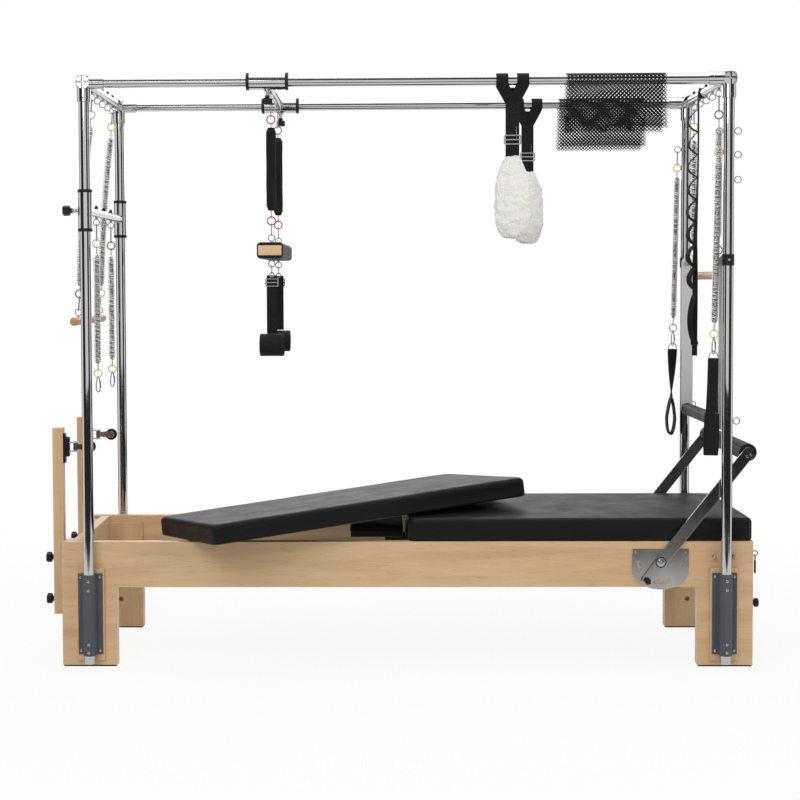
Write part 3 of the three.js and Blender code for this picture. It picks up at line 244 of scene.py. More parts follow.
# %% Wood grain
def build_wood_grain():
    group, start, end = new_group(
        "wood_grain",
        [("Position", VECTOR, None), ("Light", COLOR, (0.8, 0.6, 0.4, 1)),
         ("Dark", COLOR, (0.6, 0.4, 0.2, 1)), ("Stretch", FLOAT, 14.0)],
        [("Color", COLOR), ("Height", FLOAT), ("Fleck", FLOAT)])
    axis = add(group, "SeparateXYZ", {0: start.outputs["Position"]})
    slow = add(group, "Math", {0: axis.outputs["X"], 1: start.outputs["Stretch"]}, operation="DIVIDE")
    along = add(group, "CombineXYZ", {"X": slow.outputs[0], "Y": axis.outputs["Y"], "Z": axis.outputs["Z"]})
    streaks = add(group, "TexNoise",
                  inputs={"Scale": 26.0, "Detail": 6.0, "Roughness": 0.62, "Distortion": 0.6})
    fibres = add(group, "TexNoise", inputs={"Scale": 260.0, "Detail": 3.0, "Roughness": 0.6})
    clouds = add(group, "TexNoise", inputs={"Scale": 3.0, "Detail": 3.0, "Roughness": 0.55})
    for texture in (streaks, fibres, clouds):
        feed(group, texture, {"Vector": along.outputs[0]})
    tone = add(group, "MapRange", {"Value": streaks.outputs["Fac"]},
               inputs={"From Min": 0.36, "From Max": 0.68})
    soft = add(group, "Mix", {2: tone.outputs["Result"], 3: clouds.outputs["Fac"]},
               data_type="FLOAT", inputs={"Factor": 0.35})
    base = add(group, "Mix", {"Factor": soft.outputs[0], 6: start.outputs["Light"], 7: start.outputs["Dark"]},
               data_type="RGBA")
    fleck = add(group, "MapRange", {"Value": fibres.outputs["Fac"]},
                inputs={"From Min": 0.60, "From Max": 0.74, "To Max": 0.75})
    marked = add(group, "Mix", {"Factor": fleck.outputs["Result"], 6: base.outputs[2]},
                 data_type="RGBA", blend_type="MULTIPLY", inputs={7: (0.66, 0.54, 0.42, 1)})
    feed(group, end, {"Color": marked.outputs[2], "Height": fibres.outputs["Fac"],
                      "Fleck": fleck.outputs["Result"]})
    return group


WOOD_GRAIN = build_wood_grain()
print("group", WOOD_GRAIN.name)

# %% [markdown]
# Leathercloth, moulded plastic, rubber and powder coat all have a fine pebbled skin. They differ in the size
# of the pebbles and in how deep they are, so one group serves them all.

# %% Pebbled skin
def build_pebbles():
    group, start, end = new_group("pebbles", [("Position", VECTOR, None), ("Scale", FLOAT, 900.0)],
                                  [("Height", FLOAT), ("Mask", FLOAT)])
    cells = add(group, "TexVoronoi", feature="SMOOTH_F1", inputs={"Smoothness": 0.7})
    grain = add(group, "TexNoise", inputs={"Detail": 4.0, "Roughness": 0.6})
    for texture in (cells, grain):
        feed(group, texture, {"Vector": start.outputs["Position"], "Scale": start.outputs["Scale"]})
    both = add(group, "Math", {0: cells.outputs["Distance"], 1: grain.outputs["Fac"]}, operation="ADD")
    patches = add(group, "TexNoise", {"Vector": start.outputs["Position"]},
                  inputs={"Scale": 7.0, "Detail": 3.0})
    feed(group, end, {"Height": both.outputs[0], "Mask": patches.outputs["Fac"]})
    return group


PEBBLES = build_pebbles()
print("group", PEBBLES.name)

# %% [markdown]
# Webbing is woven from thick yarns. Its surface is laid out in metres along and across the strap, and two
# crossed waves stand for the yarns that go over and under.

# %% Weave
def build_weave():
    group, start, end = new_group("weave", [("Lay", VECTOR, None), ("Yarns per metre", FLOAT, 450.0)],
                                  [("Height", FLOAT), ("Mask", FLOAT)])
    split = add(group, "SeparateXYZ", {0: start.outputs["Lay"]})
    waves = []
    for axis_name, turn in (("X", 0.0), ("Y", math.pi / 2)):
        count = add(group, "Math", {0: split.outputs[axis_name], 1: start.outputs["Yarns per metre"]},
                    operation="MULTIPLY")
        angle = add(group, "Math", {0: count.outputs[0]},
                    operation="MULTIPLY_ADD", inputs={1: 2 * math.pi, 2: turn})
        waves.append(add(group, "Math", {0: angle.outputs[0]}, operation="SINE"))
    crossed = add(group, "Math", {0: waves[0].outputs[0], 1: waves[1].outputs[0]}, operation="MULTIPLY")
    height = add(group, "MapRange", {"Value": crossed.outputs[0]}, inputs={"From Min": -1.0})
    fuzz = add(group, "TexNoise", {"Vector": start.outputs["Lay"]}, inputs={"Scale": 1400.0, "Detail": 2.0})
    feed(group, end, {"Height": height.outputs["Result"], "Mask": fuzz.outputs["Fac"]})
    return group


WEAVE = build_weave()
print("group", WEAVE.name)

# %% [markdown]
# Nothing that people handle is evenly glossy. This group gives a roughness that drifts between two values in
# patches, with faint marks from wiping.

# %% Uneven gloss
def build_gloss():
    group, start, end = new_group(
        "uneven_gloss", [("Position", VECTOR, None), ("Smooth", FLOAT, 0.1), ("Rough", FLOAT, 0.2)],
        [("Roughness", FLOAT)])
    patches = add(group, "TexNoise", {"Vector": start.outputs["Position"]},
                  inputs={"Scale": 9.0, "Detail": 5.0, "Roughness": 0.65})
    limits = {"To Min": start.outputs["Smooth"], "To Max": start.outputs["Rough"]}
    spread = add(group, "MapRange", {"Value": patches.outputs["Fac"], **limits},
                 inputs={"From Min": 0.35, "From Max": 0.7})
    feed(group, end, {"Roughness": spread.outputs["Result"]})
    return group


GLOSS = build_gloss()
print("group", GLOSS.name)

# %% [markdown]
# Paint and wood wear thin on their corners first. A Bevel node rounds the normal near an edge; where the
# round normal and the true one differ, there is an edge, and noise breaks it up.

# %% Worn edges
def build_wear():
    group, start, end = new_group(
        "worn_edges", [("Position", VECTOR, None), ("Width", FLOAT, 0.002)], [("Mask", FLOAT)])
    rounded = add(group, "Bevel", {"Radius": start.outputs["Width"]}, samples=4)
    true_normal = add(group, "NewGeometry")
    match = add(group, "VectorMath", {0: rounded.outputs["Normal"], 1: true_normal.outputs["Normal"]},
                operation="DOT_PRODUCT")
    edge = add(group, "MapRange", {"Value": match.outputs["Value"]},
               inputs={"From Min": 0.99, "From Max": 0.85})
    breaks = add(group, "TexNoise", {"Vector": start.outputs["Position"]},
                 inputs={"Scale": 60.0, "Detail": 4.0})
    patchy = add(group, "MapRange", {"Value": breaks.outputs["Fac"]},
                 inputs={"From Min": 0.4, "From Max": 0.65})
    worn = add(group, "Math", {0: edge.outputs["Result"], 1: patchy.outputs["Result"]},
               operation="MULTIPLY")
    feed(group, end, {"Mask": worn.outputs[0]})
    return group


WEAR = build_wear()
print("group", WEAR.name)

# %% [markdown]
# Brushed steel has scratches that all run one way. They are a noise that is stretched along the part, on the
# same laid-out surface that the webbing uses.

# %% Brushed lines
def build_brushed():
    group, start, end = new_group("brushed_lines", [("Lay", VECTOR, None)],
                                  [("Height", FLOAT), ("Mask", FLOAT)])
    squeeze = add(group, "VectorMath", {0: start.outputs["Lay"]},
                  operation="MULTIPLY", inputs={1: (2200.0, 12.0, 1.0)})
    lines = add(group, "TexNoise", {"Vector": squeeze.outputs[0]},
                inputs={"Scale": 1.0, "Detail": 5.0, "Roughness": 0.7})
    clouds = add(group, "TexNoise", {"Vector": start.outputs["Lay"]}, inputs={"Scale": 25.0, "Detail": 2.0})
    feed(group, end, {"Height": lines.outputs["Fac"], "Mask": clouds.outputs["Fac"]})
    return group


BRUSHED = build_brushed()
print("group", BRUSHED.name)

# %% [markdown]
# Every material starts the same way: a Principled shader with its own constant values, the place on the piece
# and the lay of its surface. These helpers keep the materials short.

# %% Helpers for materials
FINISHES = {}


def begin(name, base, metallic=0.0, **sockets):
    """A new finish with constant values: its node tree, its Principled shader and its coordinates."""
    material = bpy.data.materials.new(name)
    material.use_nodes = True
    tree = material.node_tree
    shader = tree.nodes["Principled BSDF"]
    shader.inputs["Base Color"].default_value = (*base, 1)
    shader.inputs["Metallic"].default_value = metallic
    for socket, value in sockets.items():
        shader.inputs[socket.replace("_", " ")].default_value = value
    FINISHES[name] = material
    return tree, shader, add(tree, "TexCoord")


def use(tree, group, links, values=None):
    """Place a node group: links and values are given by socket name."""
    return add(tree, "Group", links, values, node_tree=group)


def gloss(tree, shader, spot, smooth, rough):
    """Feed the shader a roughness that drifts between two values."""
    node = use(tree, GLOSS, {"Position": spot.outputs["Object"]}, {"Smooth": smooth, "Rough": rough})
    feed(tree, shader, {"Roughness": node.outputs["Roughness"]})


def bump(tree, shader, height, depth, strength=0.5):
    """Raise the surface by a height that a group puts out: depth is in metres."""
    node = add(tree, "Bump", {"Height": height}, inputs={"Strength": strength, "Distance": depth})
    feed(tree, shader, {"Normal": node.outputs["Normal"]})


def shade_by(tree, shader, mask, dark, light):
    """Let a mask choose between two colours."""
    node = add(tree, "Mix", {"Factor": mask}, data_type="RGBA", inputs={6: (*dark, 1), 7: (*light, 1)})
    feed(tree, shader, {"Base Color": node.outputs[2]})
    return node


def rub(tree, shader, spot, width, source, colour, blend_type="MIX"):
    """Lay a colour over the edges that wear first: width is in metres."""
    wear = use(tree, WEAR, {"Position": spot.outputs["Object"]}, {"Width": width})
    worn = add(tree, "Mix", {"Factor": wear.outputs["Mask"], 6: source},
               data_type="RGBA", blend_type=blend_type, inputs={7: (*colour, 1)})
    feed(tree, shader, {"Base Color": worn.outputs[2]})


print("helpers for materials ready")

# %% [markdown]
# The floor is one wide pale sheet. Round the table it is partly the white of the room and partly matt, so
# a soft shadow stays. Further out it fades to plain white, so that no horizon shows behind the table. Only
# rays from the camera and in reflections see that white, so it adds no light.

# %% Lay the floor
FLOOR_HALF = 40.0
FADE_START, FADE_END = 1.5, 3.4
NEAR_WHITE = 0.9
floor_mesh = bpy.data.meshes.new("floor")
floor_corners = [(-1, -1), (1, -1), (1, 1), (-1, 1)]
floor_mesh.from_pydata([(x * FLOOR_HALF, y * FLOOR_HALF, 0) for x, y in floor_corners], [], [(0, 1, 2, 3)])
floor = bpy.data.objects.new("floor", floor_mesh)
floor.location.z = -0.0005
bpy.context.collection.objects.link(floor)
tree, floor_shader, spot = begin("floor_white", (0.86, 0.86, 0.86), Roughness=0.9)
distance = add(tree, "VectorMath", {0: spot.outputs["Object"]}, operation="LENGTH")
fade = add(tree, "MapRange", {"Value": distance.outputs["Value"]}, interpolation_type="SMOOTHSTEP",
           inputs={"From Min": FADE_START, "From Max": FADE_END, "To Min": NEAR_WHITE})
paths = add(tree, "LightPath")
seen = add(tree, "Math", {0: paths.outputs["Is Camera Ray"], 1: paths.outputs["Is Glossy Ray"]},
           operation="MAXIMUM")
share = add(tree, "Math", {0: fade.outputs["Result"], 1: seen.outputs[0]}, operation="MULTIPLY")
white = add(tree, "Emission")
blend = add(tree, "MixShader", {"Fac": share.outputs[0], 1: floor_shader.outputs[0], 2: white.outputs[0]})
feed(tree, tree.nodes["Material Output"], {"Surface": blend.outputs[0]})
floor_mesh.materials.append(FINISHES["floor_white"])
print("floor", 2 * FLOOR_HALF, "m, white from", FADE_END, "m")

# %% [markdown]
# The dark cards stand in front at both sides, low in front, and behind at both sides. The ones in front put
# dark streaks into the tubes, and the ones behind draw the tubes' edges against the white room. Straight
# behind the table is left open, so that the cushions' tops still catch the white.

# %% Stand the dark cards
CARDS = (
    # name, middle in millimetres, width and height in metres
    ("card_front_left", (-2700, -2300, 1900), 2.7, 3.8),
    ("card_front_right", (2750, -2200, 1900), 2.9, 3.8),
    ("card_front_low", (0, -2300, 430), 4.6, 0.84),
    ("card_front_high", (0, -3300, 3600), 5.0, 2.2),
    ("card_back_left", (-3300, 2700, 1900), 2.6, 4.2),
    ("card_back_right", (3300, 2700, 1900), 2.6, 4.2),
)
begin("card_dark", (0.035, 0.030, 0.026), Roughness=1.0)
for card_name, place, width, height in CARDS:
    card_mesh = bpy.data.meshes.new(card_name)
    card_mesh.from_pydata([(x * width / 2, y * height / 2, 0) for x, y in floor_corners], [], [(0, 1, 2, 3)])
    card_mesh.materials.append(FINISHES["card_dark"])
    card = bpy.data.objects.new(card_name, card_mesh)
    card.location = at(*place)
    aim(card, at(0, 0, place[2]))
    card.visible_camera = card.visible_diffuse = card.visible_shadow = card.visible_transmission = False
    bpy.context.collection.objects.link(card)
print("cards", len(CARDS))

# %% [markdown]
# Polished chrome is almost a mirror. Its colour is a cool grey, and its gloss drifts a little where hands
# wipe it. The springs are plain drawn steel, which is duller. The push-through bar's arms have a satin
# face, and their steel colour is painted much lighter than the other steels, as painted light on them.

# %% Chrome and spring steel
METALS = {
    "chrome": ((0.53, 0.53, 0.535), 0.06, 0.15),
    "spring_steel": ((0.60, 0.60, 0.595), 0.16, 0.30),
    "zinc": ((0.48, 0.48, 0.49), 0.14, 0.28),
    # painted light: this steel's colour is much lighter than the other steels', so the push arms look lit
    "satin_steel_painted_light": ((0.78, 0.78, 0.775), 0.44, 0.54),
}
for finish_name, (base, smooth, rough) in METALS.items():
    tree, shader, spot = begin(finish_name, base, metallic=1.0)
    gloss(tree, shader, spot, smooth, rough)
    scratches = use(tree, PEBBLES, {"Position": spot.outputs["Object"]}, {"Scale": 350.0})
    bump(tree, shader, scratches.outputs["Mask"], 0.00004, 0.25)
print("metals", len(METALS))

# %% [markdown]
# Plates and flat arms are brushed along their length: dark and light lines, and a slight bump.

# %% Brushed steel
tree, shader, spot = begin("brushed_steel", (0.42, 0.42, 0.42), metallic=1.0)
lines = use(tree, BRUSHED, {"Lay": spot.outputs["UV"]})
shade_by(tree, shader, lines.outputs["Height"], (0.36, 0.35, 0.335), (0.50, 0.49, 0.475))
gloss(tree, shader, spot, 0.15, 0.24)
bump(tree, shader, lines.outputs["Height"], 0.00006, 0.6)
print("finish brushed_steel")

# %% [markdown]
# Maple takes a clear satin varnish. The same grain is turned three ways: along the rails, up the legs and
# risers, and across for bars that run from side to side. The turned bars are a darker beech.

# %% Maple
GRAIN_TURNS = {
    "maple_along": (0, 0, 0),
    "maple_up": (0, math.pi / 2, 0),
    "maple_across": (0, 0, math.pi / 2),
    "beech_across": (0, 0, math.pi / 2),
}
MAPLE_LIGHT, MAPLE_DARK = (0.77, 0.525, 0.295), (0.56, 0.35, 0.175)
BEECH_LIGHT, BEECH_DARK = (0.60, 0.34, 0.155), (0.44, 0.22, 0.09)
for finish_name, turn in GRAIN_TURNS.items():
    is_maple = finish_name.startswith("maple")
    light, dark = (MAPLE_LIGHT, MAPLE_DARK) if is_maple else (BEECH_LIGHT, BEECH_DARK)
    tree, shader, spot = begin(finish_name, light, Coat_Weight=0.25, Coat_Roughness=0.22)
    turned = add(tree, "Mapping", {"Vector": spot.outputs["Object"]}, inputs={"Rotation": turn})
    grain = use(tree, WOOD_GRAIN, {"Position": turned.outputs["Vector"]},
                {"Light": (*light, 1), "Dark": (*dark, 1)})
    rub(tree, shader, spot, 0.0025, grain.outputs["Color"], (0.86, 0.80, 0.72), "MULTIPLY")
    gloss(tree, shader, spot, 0.34, 0.48)
    bump(tree, shader, grain.outputs["Height"], 0.0002, 0.25)
print("woods", len(GRAIN_TURNS))

# %% [markdown]
# Leathercloth, plastic, rubber and paint share one recipe: a pebbled skin, uneven gloss and edges that
# are a little lighter where they are rubbed.

# %% Skins and paints
SKINS = {
    # name: dark, light, smooth, rough, pebbles per metre, depth, edge width
    "vinyl": ((0.004, 0.004, 0.0045), (0.008, 0.008, 0.009), 0.43, 0.57, 700.0, 0.0003, 0.0020),
    "black_plastic": ((0.012, 0.012, 0.013), (0.022, 0.022, 0.024), 0.28, 0.42, 1500.0, 0.0001, 0.0010),
    "rubber": ((0.016, 0.016, 0.016), (0.028, 0.028, 0.028), 0.72, 0.86, 900.0, 0.0003, 0.0015),
    "powder_coat": ((0.075, 0.080, 0.093), (0.115, 0.120, 0.135), 0.38, 0.52, 1200.0, 0.0003, 0.0015),
    "powder_black": ((0.016, 0.016, 0.017), (0.028, 0.028, 0.030), 0.40, 0.55, 1200.0, 0.0003, 0.0015),
    "ring_yellow": ((0.72, 0.60, 0.13), (0.82, 0.72, 0.24), 0.30, 0.45, 1200.0, 0.0001, 0.0008),
    "ring_red": ((0.42, 0.012, 0.016), (0.58, 0.025, 0.03), 0.30, 0.45, 1200.0, 0.0001, 0.0008),
    "plug_brown": ((0.16, 0.08, 0.04), (0.22, 0.12, 0.06), 0.50, 0.60, 1200.0, 0.0001, 0.0010),
    "drum_red": ((0.16, 0.035, 0.025), (0.24, 0.06, 0.04), 0.45, 0.60, 1200.0, 0.0001, 0.0010),
}
RUBBED = 1.9
for finish_name, (dark, light, smooth, rough, scale, depth, edge) in SKINS.items():
    tree, shader, spot = begin(finish_name, dark, Specular_IOR_Level=0.17)
    pebbles = use(tree, PEBBLES, {"Position": spot.outputs["Object"]}, {"Scale": scale})
    base = shade_by(tree, shader, pebbles.outputs["Mask"], dark, light)
    rub(tree, shader, spot, edge, base.outputs[2], [min(1.0, value * RUBBED) for value in light])
    gloss(tree, shader, spot, smooth, rough)
    bump(tree, shader, pebbles.outputs["Height"], depth)
print("skins", len(SKINS))

# %% [markdown]
# Cloth has a sheen at glancing angles. Webbing shows its yarns, the black sleeves are woven finer, and the
# stitching thread is a shade lighter.

# %% Cloths
CLOTHS = {
    # name: dark, light, yarns per metre, depth, sheen
    "webbing": ((0.005, 0.005, 0.0055), (0.013, 0.013, 0.014), 420.0, 0.0007, 0.05),
    "sleeve_cloth": ((0.004, 0.004, 0.005), (0.010, 0.010, 0.011), 700.0, 0.0004, 0.06),
    "thread": ((0.03, 0.03, 0.033), (0.06, 0.06, 0.064), 1500.0, 0.0002, 0.05),
}
for finish_name, (dark, light, yarns, depth, sheen) in CLOTHS.items():
    tree, shader, spot = begin(finish_name, dark, Sheen_Weight=sheen, Sheen_Roughness=0.5,
                               Specular_IOR_Level=0.2)
    weave = use(tree, WEAVE, {"Lay": spot.outputs["UV"]}, {"Yarns per metre": yarns})
    shade_by(tree, shader, weave.outputs["Height"], dark, light)
    gloss(tree, shader, spot, 0.72, 0.88)
    bump(tree, shader, weave.outputs["Height"], depth, 0.8)
print("cloths", len(CLOTHS))

# %% [markdown]
# The wool of the loops is a warm white, with painted shade between its tufts: where the tufts sink,
# the colour is darker. Light goes a little way into it.

# %% Wool
tree, shader, spot = begin("wool", (0.86, 0.83, 0.77), Sheen_Weight=0.5, Sheen_Roughness=0.6,
                           Subsurface_Weight=0.12, Subsurface_Scale=0.01)
tufts = use(tree, PEBBLES, {"Position": spot.outputs["Object"]}, {"Scale": 240.0})
# painted shade: the low parts between the tufts get the darker colour
shade_by(tree, shader, tufts.outputs["Height"], (0.74, 0.70, 0.63), (0.93, 0.91, 0.87))
gloss(tree, shader, spot, 0.88, 0.98)
bump(tree, shader, tufts.outputs["Height"], 0.004, 0.7)
print("finish wool")

# %% [markdown]
# ## Making shapes
#
# Nearly every piece of this table is something long with a known section: a tube, a strap, a wire, a board.
# So a small maker sweeps a section along a line. It collects the faces of a whole piece, with a finish for
# each part of it, and lays the surface out in metres so that weave and brushing come out in scale.

# %% Sections
def arc(x, y, radius, first, last, steps):
    """Points on a circle about (x, y), from one angle to another in degrees."""
    angles = [math.radians(first + (last - first) * i / steps) for i in range(steps + 1)]
    return [(x + radius * math.cos(a), y + radius * math.sin(a)) for a in angles]


def round_section(radius, sides):
    """Points of a circle, as (across, out)."""
    return arc(0, 0, radius, 0, 360, sides)[:-1]


def flat_section(width, thick):
    """A strap's section: a flat band with round edges."""
    radius = thick / 2
    edge = width / 2 - radius
    return arc(edge, 0, radius, -90, 90, 3) + arc(-edge, 0, radius, 90, 270, 3)


def box_section(width, thick, radius, steps=3):
    """A rectangle with round corners."""
    points = []
    for sx, sy, start in ((1, -1, -90), (1, 1, 0), (-1, 1, 90), (-1, -1, 180)):
        x, y = sx * (width / 2 - radius), sy * (thick / 2 - radius)
        points += arc(x, y, radius, start, start + 90, steps)
    return points


print("a strap's section has", len(flat_section(25, 2.6)), "points")

# %% [markdown]
# A piece is collected in the bed's millimetres, and moved to the CAD frame when it is finished. Narrow
# rounded edges would bend the shading of the flat face beside them, so each piece gets Blender's weighted
# normals, which let the larger face decide.

# %% Collecting a piece
SHARP_ANGLE = math.radians(38)


class Piece:
    """Collects the faces of a piece, and turns them into one Blender object."""

    def __init__(self):
        self.points, self.faces, self.lay, self.finish_of, self.finishes = [], [], [], [], []

    def finish(self, name):
        """The number of a finish on this piece."""
        if name not in self.finishes:
            self.finishes.append(name)
        return self.finishes.index(name)

    def face(self, corners, lay, slot):
        """One face: its points, where they lie on the laid-out surface, and its finish."""
        self.faces.append(corners)
        self.lay.append(lay)
        self.finish_of.append(slot)

    def skin(self, rings, name, closed=False):
        """A skin over rings of points that all have the same count; closed joins the last to the first."""
        rings = [[Vector(p) for p in ring] for ring in rings]
        slot, size, first = self.finish(name), len(rings[0]), len(self.points)
        for ring in rings:
            self.points += ring
        across = [0.0]
        for i in range(size):
            across.append(across[-1] + (rings[0][(i + 1) % size] - rings[0][i]).length * MM)
        run = 0.0
        for r in range(len(rings) if closed else len(rings) - 1):
            after = (r + 1) % len(rings)
            end = run + (rings[after][0] - rings[r][0]).length * MM
            here, there = first + r * size, first + after * size
            for i in range(size):
                j = (i + 1) % size
                lay = ((across[i], run), (across[i + 1], run), (across[i + 1], end), (across[i], end))
                self.face((here + i, here + j, there + j, there + i), lay, slot)
            run = end
        if not closed:
            last = first + (len(rings) - 1) * size
            lay = [(x, 0.0) for x in across[:-1]]
            self.face(tuple(first + size - 1 - i for i in range(size)), lay, slot)
            self.face(tuple(last + i for i in range(size)), lay, slot)

    def build(self, name, body, slot, *nodes, matrix=None, ride=True):
        """The finished object: it rides on its body and stands for its CAD nodes."""
        mesh = bpy.data.meshes.new(name)
        moved = [matrix @ p for p in self.points] if matrix else self.points
        mesh.from_pydata([at(*p) for p in moved], [], self.faces)
        for finish_name in self.finishes:
            mesh.materials.append(FINISHES[finish_name])
        layer = mesh.uv_layers.new(name="lay")
        for polygon, lay, finish_slot in zip(mesh.polygons, self.lay, self.finish_of):
            polygon.material_index = finish_slot
            polygon.use_smooth = True
            for loop, corner in zip(polygon.loop_indices, lay):
                layer.data[loop].uv = corner
        mesh.set_sharp_from_angle(angle=SHARP_ANGLE)
        piece = bpy.data.objects.new(name, mesh)
        bpy.context.collection.objects.link(piece)
        weighted = piece.modifiers.new("weighted", "WEIGHTED_NORMAL")
        weighted.keep_sharp = True
        if ride:
            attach(piece, body)
        if nodes:
            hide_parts(*nodes)
        print(name, len(mesh.polygons), "faces")
        return piece


print("bends sharper than", round(math.degrees(SHARP_ANGLE)), "degrees stay sharp")

# %% [markdown]
# The maker adds the shapes that this table consists of. A swept section has to be carried along its line
# without twisting: each step turns it by the least amount. Turned pieces, rods, rings and blocks follow.

# %% The maker
def upright(along, hint=None):
    """A direction square to a line, as near as can be to a hint."""
    hint = hint or (Vector((0, 0, 1)) if abs(along.z) < 0.9 else Vector((0, 1, 0)))
    return (hint - along * hint.dot(along)).normalized()


class Maker(Piece):
    """Draws swept, turned and square shapes into a piece."""

    def sweep(self, line, section, name, out=None, closed=False, sizes=None, twist=0.0):
        """Sweep a section along a line; out is the way its second axis points at the start."""
        line = [Vector(p) for p in line]
        count = len(line)
        rings = []
        side = Vector(out) if out else None
        for i, p in enumerate(line):
            before = line[i - 1] if i or closed else p
            after = line[(i + 1) % count] if i + 1 < count or closed else p
            along = (after - before).normalized()
            side = upright(along, side)
            cross = along.cross(side)
            grow = sizes[i] if sizes else 1.0
            turn = twist * i / max(1, count - 1)
            a, b = math.cos(turn), math.sin(turn)
            rings.append([p + cross * grow * (x * a - y * b) + side * grow * (x * b + y * a)
                          for x, y in section])
        self.skin(rings, name, closed)

    def tube(self, line, radius, name, sides=16, **more):
        """A round bar along a line."""
        self.sweep(line, round_section(radius, sides), name, **more)

    def lathe(self, start, end, profile, name, sides=32):
        """A turned piece on an axis: profile rows are (distance from start, radius)."""
        start, axis = Vector(start), (Vector(end) - Vector(start)).normalized()
        side = upright(axis)
        cross = axis.cross(side)
        rings = [[start + axis * d + cross * x + side * y for x, y in round_section(r, sides)]
                 for d, r in profile]
        self.skin(rings, name)

    def rod(self, start, end, radius, name, sides=32, edge=0.8):
        """A solid bar between two points with softened ends."""
        length = (Vector(end) - Vector(start)).length
        edge = min(edge, radius / 2, length / 4)
        low = (1 - math.sqrt(0.5)) * edge
        profile = [(0, radius - edge), (low, radius - low), (edge, radius)]
        profile += [(length - d, r) for d, r in reversed(profile)]
        self.lathe(start, end, profile, name, sides)

    def ring(self, centre, radius, wire, name, axis="Y", steps=32, sides=10, ratio=1.0):
        """A ring of wire about an axis; ratio stretches it along Z."""
        line = []
        for a, b in round_section(radius, steps):
            offset = {"X": (0, a, ratio * b), "Y": (a, 0, ratio * b), "Z": (a, b, 0)}[axis]
            line.append(Vector(centre) + Vector(offset))
        self.tube(line, wire, name, sides=sides, closed=True)

    def block(self, low, high, name, radius=2.0, steps=2):
        """A board between two opposite corners: a box whose twelve edges are rounded."""
        low, high = (Vector([pick(pair) for pair in zip(low, high)]) for pick in (min, max))
        size, middle = high - low, (low + high) / 2
        radius = min(radius, min(size) / 2.01)
        edge = [(radius - x, radius - y) for x, y in arc(0, 0, radius, 0, 90, steps)]
        levels = [(low.z + rise, inset) for rise, inset in edge]
        levels += [(high.z - rise, inset) for rise, inset in reversed(edge)]
        rings = []
        for z, inset in levels:
            outline = box_section(size.x - 2 * inset, size.y - 2 * inset, max(radius - inset, 0.05), steps)
            rings.append([(middle.x + x, middle.y + y, z) for x, y in outline])
        self.skin(rings, name)


print("shapes", [name for name in vars(Maker) if not name.startswith("_")])

# %% [markdown]
# ## The wooden bed
#
# The bed is two tall maple rails with a leg block glued to each end, and a board across each end. A real
# board never has a knife edge, so every block here is drawn with softly rounded edges. The rail and the face
# of its leg are one flush L, which is cut as one outline and given its thickness.

# %% Sizes of the bed
HALF_LENGTH, HALF_WIDTH = 1225.0, 340.0
RAIL_THICK, RAIL_BOTTOM, RAIL_TOP = 35.0, 284.0, 447.0
LEG_WIDTH, LEG_THICK, FOOT_PAD = 195.0, 50.0, 5.0
POST_X, POST_Y, POST_RADIUS = 1121.0, 378.0, 19.0
TOP_Z = 2065.0
print("bed", 2 * HALF_LENGTH, "by", 2 * HALF_WIDTH, "mm")

# %% [markdown]
# A board or plate with an odd outline is cut as a slab: its outline is repeated at a few depths, a little
# smaller at the faces, so that the long edges are softened. A strap is a flat band that is swept along a
# line.

# %% Slabs and bands
def slab(maker, outline, one, other, name, edge):
    """An outline in XZ given its thickness along Y, between two depths, with its long edges softened."""
    low, high = sorted((one, other))
    count = len(outline)
    corners = []
    for i, p in enumerate(outline):
        before, here, after = (Vector(outline[(i + k) % count]) for k in (-1, 0, 1))
        first, second = (here - before).normalized(), (after - here).normalized()
        inward = Vector((-first.y, first.x)) + Vector((-second.y, second.x))
        reach = 2 / max(0.6, inward.dot(inward))
        corners.append((here, inward * reach))
    following = outline[1:] + outline[:1]
    turn = 1 if sum(x0 * y1 - x1 * y0 for (x0, y0), (x1, y1) in zip(outline, following)) > 0 else -1
    rings = []
    soft = 0.3 * edge
    for depth, inset in ((low, edge), (low + soft, soft), (low + edge, 0),
                         (high - edge, 0), (high - soft, soft), (high, edge)):
        flat = [here + inward * inset * turn for here, inward in corners]
        rings.append([(p.x, depth, p.y) for p in flat][::-turn])
    maker.skin(rings, name)


def band(maker, line, width, thick, out, closed=False):
    """Flat webbing along a line; out is the way its flat side faces at the start."""
    maker.sweep(line, flat_section(width, thick), "webbing", out=out, closed=closed)


print("slabs and bands ready")

# %% [markdown]
# A leg's face is part of the rail's outline; the block behind it is glued on, stands on a rubber pad and has
# a plugged screw hole. Each rail also carries two upright plates, which the posts' brackets are screwed to.

# %% Side rails with their legs
LEG_TOP, PAD_INSET = 420.0, 3.0
PLATE_HALF, PLATE_LOW, PLATE_HIGH, PLATE_THICK = 49.0, 25.0, 354.0, 14.0


def rail_outline():
    """The rail and the faces of its two legs, as one outline in XZ."""
    foot, knee = HALF_LENGTH, HALF_LENGTH - LEG_WIDTH
    return [(-foot, FOOT_PAD), (-knee, FOOT_PAD), (-knee, RAIL_BOTTOM), (knee, RAIL_BOTTOM), (knee, FOOT_PAD),
            (foot, FOOT_PAD), (foot, RAIL_TOP), (-foot, RAIL_TOP)]


def inner_leg(maker, end, side):
    """The block behind the face of a leg, its rubber pad and its plug."""
    outer, inner = end * (HALF_LENGTH - 0.4), end * (HALF_LENGTH - LEG_WIDTH + 0.4)
    face, glued = side * (HALF_WIDTH - LEG_THICK), side * (HALF_WIDTH - RAIL_THICK + 0.5)
    maker.block((outer, face, FOOT_PAD), (inner, glued, LEG_TOP), "maple_up")
    pad_face = side * (HALF_WIDTH - PAD_INSET)
    maker.block((outer - end * PAD_INSET, face + side * PAD_INSET, 0),
                (inner + end * PAD_INSET, pad_face, FOOT_PAD + 0.5), "rubber", 1.0)
    plug_x = end * (HALF_LENGTH - LEG_WIDTH * 0.55)
    maker.rod((plug_x, face + side * 2, 115), (plug_x, face - side * 1.5, 115), 9, "plug_brown", 24)


